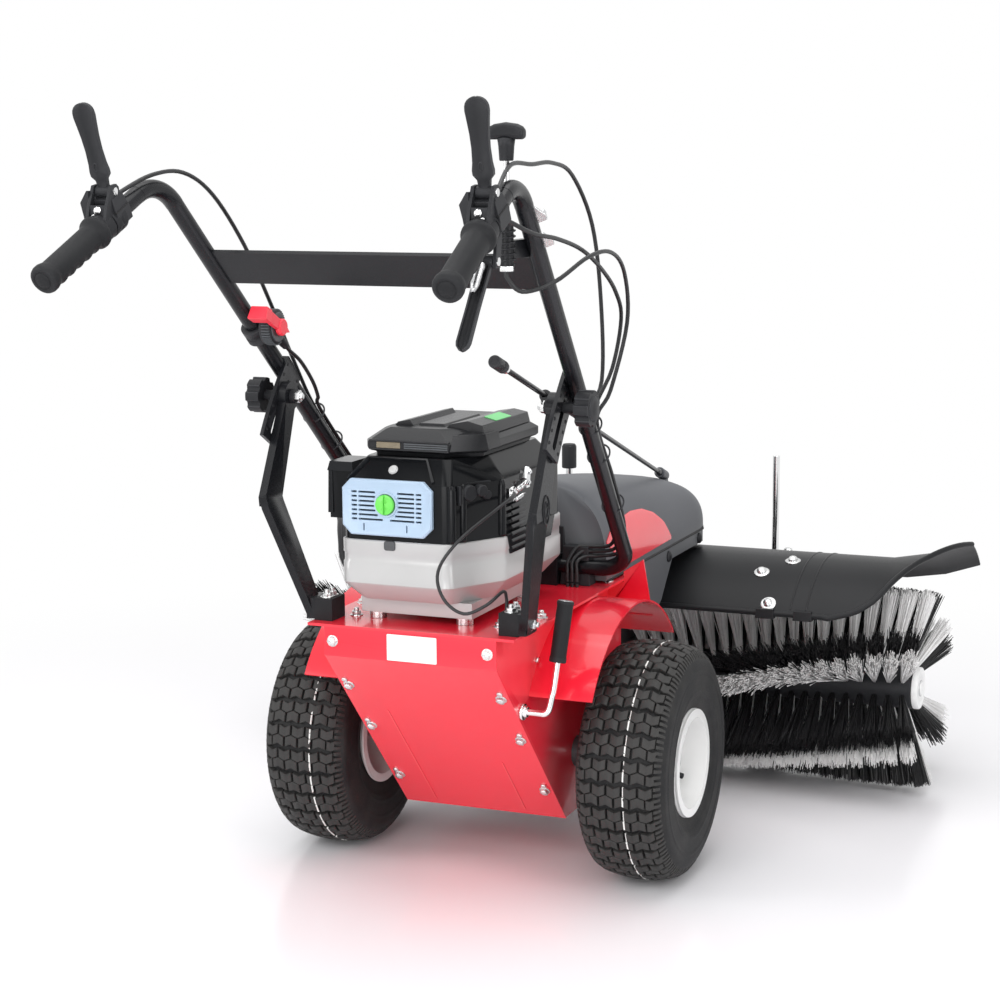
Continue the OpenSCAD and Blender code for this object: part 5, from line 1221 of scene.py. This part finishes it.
def make_grille():
    """The pale panel with its rows of slots, and the quarter-turn knob in its collar."""
    face = front_frame(GRILLE_AT)
    w, h, c = 73, 42, 14
    outline = [(-w, -h + c), (-w + c, -h), (w - c, -h), (w, -h + c), (w, h - c), (w - c, h), (-w + c, h),
               (-w, h - c)]
    layers = ((8, 1, 1), (2, 1, 1), (0, 0.97, 0.95))
    rings = [[face((a * u, b * v, t)) for u, v in outline] for t, a, b in layers]
    obj = shaped("grille_panel_plate", closed_skin(rings))
    slots = Shape()
    for k in range(7):
        v = 23 - 6.8 * k
        wide = 6 if k == 6 else 18 if k < 5 else 14
        for s in (-1, 1):
            slots.box((s * 52.5 - 4.5, v - 1.5, -4), (s * 52.5 + 4.5, v + 1.5, 12), face)
            low, high = sorted((s * wide, s * 45.5))
            slots.box((low, v - 1.5, -4), (high, v + 1.5, 12), face)
    for u in (-37, 33):
        slots.box((u - 1.1, -35, -4), (u + 1.1, -24, 12), face)
    slots.lathe([(10.05, -6), (10.05, 14)], face((0, 6, 0)), Y_WAY, 40)
    cut(obj, shaped("grille_slots", slots))
    even_shade(obj)
    settle(obj, "chassis", PALE_BLUE, ("grille_panel",))
    collar = Shape().lathe([(15.6, 0.4), (15.6, -2), (16.4, -3), (18.6, -3), (19.8, 0.4), (15.6, 0.4)],
                           face((0, 6, 0)), Y_WAY, 48)
    piece("grille_knob_collar", collar, "chassis", PALE_BLUE)
    disc = [(10, 30), (10, -0.4), (15, -0.4), (15, -6.4), (14, -8), (2, -8.4)]
    knob = shaped("filter_knob_disc", Shape().lathe(disc, face((0, 6, 0)), Y_WAY, 48))
    groove = Shape().box((-1.5, -30, -12), (1.5, 40, -5), face)
    cut(knob, shaped("knob_groove", groove))
    even_shade(knob)
    settle(knob, "filter_knob", LIME, ("filter_knob",))


def make_shrouds():
    """Silver lower shroud, and what is moulded on the black upper one."""
    rows = ((484, 22), (486, 20), (509, 1.2), (512, 0), (542, 0), (544, 1.3), (556, 1.3), (558, 0),
            (576.6, 0), (578, 1.4))
    piece("engine_base_shell", closed_skin([engine_ring(inset, z) for z, inset in rows]), "chassis",
          SILVER_PAINT, ("engine_base_shroud",), sharp=24)
    black = Shape()
    # Lower side panel that steps down over the silver shroud, corner post and rear corner ribs
    side = side_frame((110, 0, 0))
    black.prism([(-219, 580), (-206, 549), (-38, 549), (-22, 580)], -2, 1.6, side, inset=0.6)
    for x, y, r in ((60, -309, 7), (70, -291, 6), (105, -226, 6.5)):
        black.lathe([(r - 2, 579.4), (r, 582), (r, 655), (r - 2, 664), (1, 666)], (x, y, 0), Z_WAY, 20)
    # Raised rim on the sloping face above the grille
    rim = [(-106, -313.6, 667), (-82, -293.2, 697), (14, -293.2, 697), (32, -313.6, 667)]
    path = [Vector(p) + SLOPE_OUT * 0.6 for p in rim]
    black.tube(path, 3, ring=[(-3.4, -2.4), (3.4, -2.4), (3.4, 2), (2.4, 3), (-2.4, 3), (-3.4, 2)])
    # Filter box cap, its catch and ribs
    black.box((-149, -299, 676), (-106, -229, 690), inset=3)
    black.box((-149.5, -290, 640), (-144, -238, 668), inset=1)
    black.box((-148.4, -299, 612), (-140, -292, 676), inset=1)
    piece("engine_shroud_ribs", black, "chassis", SHROUD_PLASTIC, edge=0.9)
    disc = Shape().lathe([(1, 2.6), (5.6, 2.6), (6.4, 2.0), (6.8, 0.6), (7.4, 0.6), (7.6, -1)],
                         Vector((-37, -303, 683)), SLOPE_OUT, 40)
    piece("engine_plain_disc", disc, "chassis", SILVER_PAINT)
    tab = axes((-36.5, -320, 571), X_WAY, Z_WAY, (0, -1, 0))
    piece("engine_seam_tab", Shape().prism(rounded(19, 15, 4), -1, 2.2, tab, inset=0.8), "chassis",
          CAST_METAL, edge=0.5)


def make_carburettor():
    """Knobs, governor springs and louvres on the right flank."""
    out = Vector((0.87, -0.493, 0))
    knobs = Shape()
    base = Vector((82, -270, 650)) - out * 3
    along = Vector((0.493, 0.87, 0))
    for t, z, r, l in ((-16, 2, 12, 13), (4, 4, 9, 17), (18, -4, 7, 11)):
        p = base + along * t + Vector((0, 0, z))
        knobs.lathe([(r - 2, -3), (r, -2), (r, l - 5), (r - 1, l - 4), (r - 1, l - 3), (r, l - 2),
                     (r - 1.5, l), (2, l)], p, out, 24)
    frame_of = axes(base, along, Z_WAY, out)
    knobs.prism(rounded(62, 34, 5), -2, 2.4, frame_of, inset=1)
    knobs.box((-36, -16, -2), (-30, 14, 9), frame_of, inset=1)
    piece("carburettor_knobs", knobs, "chassis", CONTROL_PLASTIC, edge=0.6)
    metal = Shape()
    for y0, y1, z0, z1, r in ((-206, -150, 640, 650, 3.4), (-196, -168, 630, 633, 2.6)):
        turns = 11
        a, b = Vector((114.5, y0, z0)), Vector((114.5, y1, z1))
        way = (b - a).normalized()
        e = Vector(X_WAY)
        f = way.cross(e)
        coil = [a + (b - a) * k / (turns * 8) + (e * math.cos(TAU * k / 8) + f * math.sin(TAU * k / 8)) * r
                for k in range(turns * 8 + 1)]
        metal.tube(coil, 0.8, 6)
        metal.tube([a - way * 9, a + Vector((0, 0, r))], 0.8, 6)
        metal.tube([b + Vector((0, 0, r)), b + way * 12], 0.8, 6)
    plate = side_frame((109, 0, 0))
    metal.prism([(-216, 632), (-196, 632), (-192, 644), (-198, 652), (-216, 650)], -2, 4, plate, inset=0.5)
    metal.prism([(-146, 640), (-132, 640), (-128, 668), (-136, 672), (-148, 656)], -2, 4, plate, inset=0.5)
    for y, z in ((-210, 640), (-200, 646), (-140, 648), (-136, 664)):
        metal.lathe([(1, 3), (4.2, 3), (4.2, 7), (3, 8.2), (1, 8.2)], (109, y, z), X_WAY, 6)
    piece("governor_springs", metal, "chassis", CHROME)
    slat = Shape().prism([(111.2, 0), (113.8, 0.6), (113.8, 2.4), (111.2, 5.6)], -204, -150,
                         front_frame((0, 0, 555)))
    row("engine_louvres", slat, "chassis", LID_PLASTIC, 7, shift=(0, 0, 10.6), edge=0.3)


def make_lid():
    """The layered lid with its window, ribbed strip and raised wings."""
    outline = [(-97, -266), (-86, -286), (44, -286), (91, -246), (91, -40), (70, -10), (-80, -10),
               (-97, -30)]
    middle = Vector((-6, -150))

    def ring(z, inset):
        points = []
        for x, y in outline:
            way = Vector((x, y)) - middle
            points.append(Vector((x - math.copysign(inset, way.x), y - math.copysign(inset, way.y), z)))
        return points

    levels = ((700, 11), (706, 9), (708, 3), (711, 0), (722, 0), (726, 5), (738, 20), (741, 26))
    shape = closed_skin([ring(z, inset) for z, inset in levels])
    # Wings, spine and the facet block at the right rear corner
    shape.prism([(-66, 739), (-60, 746), (-40, 750), (-34, 741)], -236, -70, front_frame((0, 0, 0)),
                inset=2)
    shape.prism([(20, 739), (27, 746), (56, 752), (80, 746), (84, 730)], -240, -52, front_frame((0, 0, 0)),
                inset=2)
    shape.box((-30, -230, 739), (16, -90, 744.5), inset=3)
    corner = [(48, -287.5), (84, -257), (93, -246), (93, -196), (60, -226), (46, -250)]
    shape.prism(corner, 711, 735, axes((0, 0, 0), X_WAY, Y_WAY, Z_WAY), inset=6)
    shape.box((-84, -288, 709.5), (46, -280, 712), inset=0.4)
    shape.box((-84, -288, 722), (46, -278, 725), inset=0.4)
    piece("engine_lid_layers", shape, "chassis", LID_PLASTIC, ("engine_lid",), edge=1.0, angle=14)
    piece("lid_window", Shape().box((-72, -287.4, 712.6), (-33, -284, 721.6), inset=0.3), "chassis", AMBER,
          edge=0.5)
    rib = Shape().box((-27, -287.2, 712.6), (44, -284, 714.6), inset=0.3)
    row("lid_ribs", rib, "chassis", DIAL_GREY, 3, shift=(0, 0, 3.2), edge=0.3)
    patch = axes((68, -150, 749), (0.97, 0, -0.243), Y_WAY, (0.243, 0, 0.97))
    piece("lid_plain_patch", Shape().prism(rounded(21, 60, 2), -0.6, 0.8, patch), "chassis", GREEN_PATCH,
          edge=0.2)


make_grille()
make_shrouds()
make_carburettor()
make_lid()


# ---------------------------------------------------------------- rear panel, deck, crank and wheels

PANEL_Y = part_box("rear_panel")[0].y / MM + MID_Y
PANEL_SLOPE = Vector((0, 0.6817, -0.7316))
PANEL_OUT = Vector((0, -0.7316, -0.6817))
PANEL_BOLTS = ((-333, 423), (-281.3, 345.6), (-203.9, 262.4), (-103.4, 154.6))


def make_panel_trim():
    """Blank plate, creases and bolts of the red box."""
    plate = axes((4.5, PANEL_Y, 421), X_WAY, Z_WAY, (0, -1, 0))
    piece("blank_plate", Shape().prism(rounded(81, 40, 1.5), -0.5, 0.7, plate, inset=0.2), "chassis",
          WHITE_PATCH)
    skin = PANEL_Y + 333
    start = Vector((0, -281.3, 345.6)) - PANEL_OUT * skin
    creases = Shape()
    for x, first, last in ((-82, 66, 330), (74, 190, 330)):
        across = axes(start + Vector((x, 0, 0)), X_WAY, PANEL_SLOPE, PANEL_OUT)
        creases.prism([(-1.2, first), (0, first - 3), (1.2, first), (1.2, last), (-1.2, last)], -0.6, 0.9,
                      across, inset=0.4)
    piece("panel_creases", creases, "chassis", RED_PAINT)
    heads, nuts = [], []
    for k, (y, z) in enumerate(PANEL_BOLTS):
        way = Vector((0, -1, 0)) if k == 0 else PANEL_OUT
        for x in (-126, 126):
            p = Vector((x, y, z)) - way * skin
            heads.append((p, way))
            if k:
                nuts.append((p - PANEL_SLOPE * 15 + Vector((math.copysign(2, x), 0, 0)), way))
    domed = (([(2, -0.5), (9, -0.5), (9, 1.2), (8, 1.8)], 24),
             ([(2, 1), (6.6, 1), (6.6, 4.6), (5.6, 6.4), (3, 7.6), (0.6, 8)], 24))
    fasteners("panel_bolts", domed, heads, "chassis", ZINC, seed=3)
    small = (([(2, -0.5), (4.6, -0.5), (4.6, 2.6), (3.6, 3.6), (0.6, 4)], 18),)
    fasteners("panel_nuts", small, nuts, "chassis", ZINC, seed=5)
    hexagon = (([(2, -0.5), (10, -0.5), (10, 1.4)], 24),
               ([(2, 1), (7.6, 1), (7.6, 6.2), (6.6, 7), (1, 7)], 6),
               ([(1, 6), (4, 6), (4, 11), (3, 12), (0.5, 12)], 16))
    on_deck = ((-122, -262), (116, -262), (-150, -180), (150, -180), (-150, 120), (150, 120), (-60, 160),
               (60, 160))
    places = [((x, y, DECK_Z), Z_WAY) for x, y in on_deck]
    places += [((s * 151, y, DECK_Z + 34), Z_WAY) for s in (-1, 1) for y in (-304, -286)]
    fasteners("deck_bolts", hexagon, places, "chassis", ZINC, seed=7)
    sides = [((s * 140, y, z), (s, 0, 0)) for s in (-1, 1) for y, z in ((-176, 380), (-60, 380), (40, 300))]
    fasteners("side_bolts", small, sides, "chassis", ZINC, seed=9)
    foot = [((s * 179, -295, DECK_Z + 16), (s, 0, 0)) for s in (-1, 1)]
    fasteners("upright_foot_bolts", hexagon, foot, "chassis", ZINC, seed=11)
    # The oval hole in the side plate: its dark floor is painted shade, with a red rim round it.
    slot = side_frame((140, -150, 338))
    oval = oval_of(9, 15, 28)
    piece("side_plate_oval", Shape().prism(oval, -1, 0.5, slot), "chassis", SHADOW_BLACK)
    edge_of = Shape().tube([slot((u, v, 0.4)) for u, v in oval] + [slot((*oval[0], 0.4))], 1.1, 8)
    piece("side_plate_oval_edge", edge_of, "chassis", RED_PAINT)


def make_crank():
    """Bent chrome rod with a rubber grip."""
    corners = ((140, -236, 314), (180, -236, 314), (188, -228, 348), (198, -202, 482))
    pin, knee, bend, top = (Vector(p) for p in corners)
    rod = Shape()
    rod.lathe([(2, 0.4), (12.8, 0.4), (13, 1), (13, 4), (12, 4.6), (8.4, 4.6), (8.4, 9), (7.4, 10),
               (2, 10)], pin, X_WAY, 32)
    way = (top - bend).normalized()
    route = smooth_path([pin, pin + Vector((28, 0, 0)), knee + Vector((-4, 0, 0)),
                         knee + Vector((2.4, 1.6, 6)), bend - Vector((2, 2, 8)), bend + way * 4,
                         bend + way * 48], 5)
    rod.tube(route, 5, 16)
    piece("side_crank_rod", rod, "side_crank", CHROME, ("side_crank",), sharp=50)
    length = (top - bend).length
    first = 0.32 * length
    grip = [(5.2, first), (12, first), (13, first + 1.4), (13, first + 8), (12.3, first + 9),
            (12.3, length - 6), (13, length - 5), (13, length - 1.4), (12, length), (3, length)]
    piece("side_crank_grip", Shape().lathe(grip, bend, way, 36), "side_crank", GRIP_RUBBER, ("side_crank",))
    cap = Shape().lathe([(11.4, -0.6), (11.4, 0.5), (10, 1), (1, 1.2)], top, way, 36)
    piece("side_crank_cap", cap, "side_crank", ZINC)


def make_wheel_trim(side):
    """Valve, hub cap, lug bolts and the bright edge of a rim."""
    body = "wheel_" + SIDE_NAME[side]
    outer = WHEEL_X + 23
    stem = Vector((outer - 14, side * 48, AXLE_Z - 32))
    valve = Shape().lathe([(2, -8), (6.6, -8), (6.6, 0), (5.4, 3), (4.2, 16), (4.6, 17), (4.6, 27),
                           (3.6, 28), (1, 28)], stem, (1, 0, -0.25), 20)
    hub = Shape()
    hub.lathe([(6, 0), (24, 0), (25, 1), (25, 4), (23, 6), (19, 7), (17, 11), (15, 12), (6, 12)],
              (outer, 0, AXLE_Z), X_WAY, 40)
    lugs = [((outer + 1.5, 34 * math.cos(a), AXLE_Z + 34 * math.sin(a)), X_WAY)
            for a in (TAU * (k + 0.3) / 4 for k in range(4))]
    bead = Shape().lathe([(80, 58.2), (84.6, 59), (86.6, 60.6), (86.8, 63), (85.6, 65), (83.6, 64.6),
                          (82.4, 61), (80, 58.2)], (WHEEL_X, 0, AXLE_Z), X_WAY, 72)
    if side < 0:
        lugs = [(flip(p), flip(w)) for p, w in lugs]
    piece(body + "_valve", valve.on(side), body, GRIP_RUBBER)
    piece(body + "_hub_cap", hub.on(side), body, WHITE_PAINT)
    lug = (([(2, -1), (7.4, -1), (7.4, 0.8), (6, 0.8), (6, 5), (5, 6), (0.6, 6)], 6),)
    fasteners(body + "_lug_bolts", lug, lugs, body, ZINC, seed=13)
    piece(body + "_rim_edge", bead.on(side), body, WHITE_PAINT)


make_panel_trim()
make_crank()
for wheel_side in (-1, 1):
    make_wheel_trim(wheel_side)


# ---------------------------------------------------------------- swivel rod, uprights and clamps

ROD_TIP, ROD_EYE = Vector((66, 668, 541)), Vector((186, -249, 795))
ROD_DIR = (ROD_EYE - ROD_TIP).normalized()
ROD_REAR = ROD_EYE + ROD_DIR * 260
STUD_Y, STUD_Z = -292, 785


def make_swivel_rod():
    """The thin rod over the hood, with its handle."""
    length = (ROD_REAR - ROD_TIP).length
    rod = Shape().lathe([(1, 0), (4, 0), (4, length), (1, length)], ROD_TIP, ROD_DIR, 20)
    rod.lathe([(4.05, 44.4), (6, 44.4), (6.4, 46), (6.4, 52), (5.4, 62), (4.4, 68), (4.05, 68)], ROD_TIP,
              ROD_DIR, 20)
    piece("swivel_rod_bar", rod, "swivel_rod", BLACK_PAINT, ("swivel_rod",))
    grip = [(4, -6), (8, -6), (9, -4.6), (9, 12), (8.2, 13), (8.2, 15), (9, 16), (9, 38), (8, 41), (5, 42),
            (1, 42)]
    piece("swivel_rod_grip", Shape().lathe(grip, ROD_REAR, ROD_DIR, 28), "swivel_rod", CONTROL_PLASTIC,
          ("swivel_rod",))
    ferrule = [(4.1, -20), (6.4, -20), (7, -19), (7, -7), (6.2, -6.2), (4.1, -6.2)]
    piece("swivel_rod_ferrule", Shape().lathe(ferrule, ROD_REAR, ROD_DIR, 28), "swivel_rod", CHROME)


def make_upright_trim(side):
    """Pressed rings, stud nut, knob cap and the sector plate's eyelets."""
    name = SIDE_NAME[side]
    rings = Shape()
    for r in (1.0, 0.55):
        oval = [(222.3, -344 + 12 * r * math.cos(TAU * k / 28), 644 + 21 * r * math.sin(TAU * k / 28))
                for k in range(29)]
        rings.tube(oval, 1.3, 8)
    piece("upright_rings_" + name, rings.on(side), "chassis", BLACK_PAINT)
    nut = (([(2, 0), (9.6, 0), (9.6, 6.6), (8.4, 7.4), (5.6, 7.4), (5.6, 10), (4.6, 11), (0.6, 11)], 6),)
    fasteners("stud_nut_" + name, nut, [((side * 201.4, STUD_Y, STUD_Z), (-side, 0, 0))], "clamp_" + name,
              ZINC, seed=15)
    cap = Shape().lathe([(2, 20.5), (15, 21), (19, 22), (17, 24.4), (10, 26), (1, 26.6)],
                        (253, STUD_Y, STUD_Z), X_WAY, 36)
    piece("clamp_knob_cap_" + name, cap.on(side), "clamp_" + name, CONTROL_PLASTIC)
    eyelet = (([(1.6, -0.4), (3.0, -0.4), (2.8, 0.6), (2.0, 0.9), (1.6, 0.2)], 14),)
    places = []
    for a in range(7):
        angle = math.radians(134.8 + 2.2 * a)
        for r in (458, 498):
            p = Vector((228.9, TUBE_FOOT.y + r * math.cos(angle), TUBE_FOOT.z + r * math.sin(angle)))
            places += [(p, X_WAY), (p - Vector((6, 0, 0)), (-1, 0, 0))]
    if side < 0:
        places = [(flip(p), flip(w)) for p, w in places]
    fasteners("sector_eyelets_" + name, eyelet, places, "handlebar", BLACK_PAINT, seed=17)


make_swivel_rod()
for upright_side in (-1, 1):
    make_upright_trim(upright_side)


# ---------------------------------------------------------------- hood and cover trim

def make_hood_trim():
    """Painted shade along the hood's seam, bolts and the dark boxes behind the hood."""
    seam = [(157, 97), (157, 625), (143, 665), (111, 711), (65, 735), (-65, 735), (-111, 711), (-143, 665),
            (-157, 625), (-157, 97)]
    # A near-black bead along the seam between hood and skirt: painted shade in the gap.
    bead = Shape().tube([Vector((x, y, 452)) for x, y in seam], 2.2, 8)
    piece("hood_seam_bead", bead, "chassis", SHADOW_BLACK, sharp=50)
    box = Shape()
    for s in (-1, 1):
        box.box((s * 112 - 26, 66, DECK_Z), (s * 112 + 26, 96, 512), inset=4)
    box.box((-86, 88, DECK_Z + 40), (86, 97, 540), inset=3)
    piece("hood_rear_boxes", box, "chassis", CONTROL_PLASTIC, edge=2)
    head = (([(2, -1), (10, -1), (10, 2), (8.4, 4), (5, 5.4), (0.6, 6)], 24),)
    flank = ((250, 432), (420, 436), (600, 438))
    places = [((s * 157, y, z), (s, 0, 0)) for s in (-1, 1) for y, z in flank]
    places += [((s * 60, 735, 438), Y_WAY) for s in (-1, 1)]
    fasteners("hood_bolts", head, places, "chassis", CONTROL_PLASTIC, seed=19)


def hood_side(y, z):
    """The point of the hood's right flank at that length and height."""
    where = HOOD.ray_cast(at((600, y, z)), Vector((-1, 0, 0)))[1]
    return where / MM + Vector((0, MID_Y, 0))


def between(table, y):
    """A value read from (place, value) pairs, on a straight line between them."""
    for (a, p), (b, q) in zip(table, table[1:]):
        if y <= b:
            return p + (q - p) * max(0.0, (y - a) / (b - a))
    return table[-1][1]


HOOD_TOP = ((95, 607), (103, 611), (130, 611), (545, 557), (600, 549), (640, 539), (670, 526), (695, 508),
            (712, 491), (725, 474), (735, 458))
HOOD_HALF = ((95, 157), (610, 157), (640, 153), (665, 145), (690, 131), (712, 111), (727, 88), (735, 66))


def make_hood():
    """The hood's dome: a row of arches from its rear end to the nose."""
    rows = []
    nose = [650, 662, 674, 684, 694, 702, 710, 717, 723, 728, 732, 735]
    for y in [95 + 16 * k for k in range(35)] + nose:
        half, top = between(HOOD_HALF, y), between(HOOD_TOP, y)
        arch = []
        for k in range(41):
            a = math.pi * k / 40
            c, s = math.cos(a), math.sin(a)
            arch.append(Vector((half * math.copysign(abs(c) ** 0.62, c), y,
                                452.4 + (top - 452.4) * s ** 0.72)))
        rows.append(arch)
    bush = Shape().lathe([(4.3, -6), (9, -6), (10, -5), (10, 42.6), (9, 44), (4.3, 44), (4.3, -6)], ROD_TIP,
                         ROD_DIR, 28)
    bush.box((58, 630, 501), (80, 664, 536), inset=3)
    piece("hood_rod_bush", bush, "chassis", HOOD_PLASTIC, ("hood_upper",), edge=0.6)
    return piece("hood_dome", closed_skin(rows), "chassis", HOOD_PLASTIC, ("hood_upper",), sharp=44)


HOOD = make_hood()
ACCENT_TOP = ((104, 516), (130, 530), (160, 538), (250, 543), (310, 538), (360, 524), (400, 502),
              (432, 470))
ACCENT_LOW = ((104, 513), (160, 474), (190, 462), (432, 465))


def make_accent():
    """A red panel that follows the hood's flank, pointed at both ends."""
    rows = []
    for k in range(34):
        y = 104 + 328 * k / 33
        low, high = between(ACCENT_LOW, y), between(ACCENT_TOP, y)
        rows.append([hood_side(y, low + (high - low) * n / 8) for n in range(9)])
    thick = [[p + Vector((1.4, 0, 0.5)) for p in r] for r in rows]
    back = [[p - Vector((1.5, 0, 0.5)) for p in r] for r in rows]
    loop = [front + list(reversed(rear)) for front, rear in zip(thick, back)]
    shape = closed_skin(loop)
    for side, name in SIDE_NAME.items():
        piece("hood_accent_" + name, shape.on(side), "chassis", RED_PAINT, sharp=30)


COVER_FLARE = ((0, 232), (510, 232), (580, 245), (640, 269))
COVER_END = [(440, 443), (480, 453), (500, 464), (522, 485), (539, 515), (558, 550), (581, 596), (615, 650),
             (640, 703)]


def on_cover(x, y, out=0.0):
    """A point over the brush cover, at its own radius for that distance from the middle."""
    r = between(COVER_FLARE, abs(x)) + out
    return Vector((x, y, BRUSH_Z + math.sqrt(r * r - (y - BRUSH_Y) ** 2)))


def make_cover_trim():
    """Rolled rims along the cover's ends and rear edge, clips, seams and bolts."""
    rear_y = 444
    end = [on_cover(p.x, p.y, -1.5) for p in smooth_path([(x, y, 0) for x, y in COVER_END], 4)]
    back = [on_cover(x, rear_y, -1.5) for x in range(-430, 431, 20)]
    route = [flip(p) for p in reversed(end)] + back + end
    rim = Shape().tube(route, 5, 10)
    piece("brush_cover_rim", rim, "brush_head", COVER_PAINT, sharp=60)
    seams = Shape()
    for x in (-400, -372, 372, 400):
        seams.tube([on_cover(x, y, -0.6) for y in range(450, 760, 10)], 1.8, 8)
    piece("brush_cover_seams", seams, "brush_head", COVER_PAINT, sharp=60)
    clips = Shape()
    for x in (-396, -328, 328, 396):
        p = on_cover(x, rear_y, 0)
        clips.box((p.x - 17, p.y - 7, p.z - 11), (p.x + 17, p.y + 7, p.z + 6), inset=1.5)
    piece("brush_cover_clips", clips, "brush_head", COVER_PAINT, edge=1)
    head = (([(2, -1.6), (14, -1.6), (14, 1), (12, 2)], 32),
            ([(2, 1), (8.4, 1), (8.4, 5), (6, 8), (2, 9.4), (0.6, 9.6)], 24))
    places = []
    for x, y in ((300, 520), (300, 700), (345, 566), (330, 456), (120, 470), (120, 760)):
        for s in (-1, 1):
            p = on_cover(s * x, y)
            places.append((p, Vector((0, p.y - BRUSH_Y, p.z - BRUSH_Z)).normalized()))
    fasteners("brush_cover_bolts", head, places, "brush_head", ZINC, seed=21)
    knob = Shape().lathe([(2, 506), (14, 506), (15, 508), (15, 550), (12, 555), (2, 556)], (-217, 915, 0),
                         Z_WAY, 24)
    piece("caster_post_head_left", knob, "post_left", CONTROL_PLASTIC)


make_hood_trim()
make_accent()
make_cover_trim()


# ---------------------------------------------------------------- cable ties

def make_ties():
    """Ties that hold the cables to the tubes."""
    for side, name in SIDE_NAME.items():
        ties = Shape()
        for z in (740, 690, 600):
            middle = on_leg(z) + Vector((0, 6, 6))
            u = Vector(X_WAY)
            v = LEG_DIR.cross(u).normalized()
            loop = [middle + u * p + v * q for p, q in oval_of(17, 19, 24)]
            ties.tube(loop + loop[:1], 1.5, 6)
        piece("cable_ties_" + name, ties.on(side), "handlebar", CONTROL_PLASTIC)


make_ties()


# ---------------------------------------------------------------- frame, panels and other CAD shapes

DRESSED = {
    RED_PAINT: ("chassis_frame", "rear_panel", "fender_left", "fender_right"),
    BLACK_PAINT: ("handlebar_frame", "tube_saddles", "upright_left", "upright_right", "neck_beam",
                  "caster_frame", "caster_fork_left", "caster_fork_right"),
    CAST_METAL: ("transaxle", "top_gearbox", "brush_gearbox"),
    WHITE_PAINT: ("rim_left", "rim_right"),
    STEEL: ("axle_left", "axle_right", "crankshaft", "drive_shaft", "upright_shaft", "brush_shaft"),
    ZINC: ("engine_mounts", "chassis_bolts"),
    SILVER_PAINT: ("engine_block",),
    SHROUD_PLASTIC: ("engine_shroud",),
    SKIRT_PLASTIC: ("hood_skirt",),
    BLOCK_RUBBER: ("mount_blocks", "drive_belt", "caster_wheel_left", "caster_wheel_right"),
    CONTROL_PLASTIC: ("clamp_knob_left", "clamp_knob_right"),
    CHROME: ("caster_post_left", "caster_post_right"),
    COVER_PAINT: ("brush_cover",),
}

for material, nodes in DRESSED.items():
    for node in nodes:
        dress(node, material)
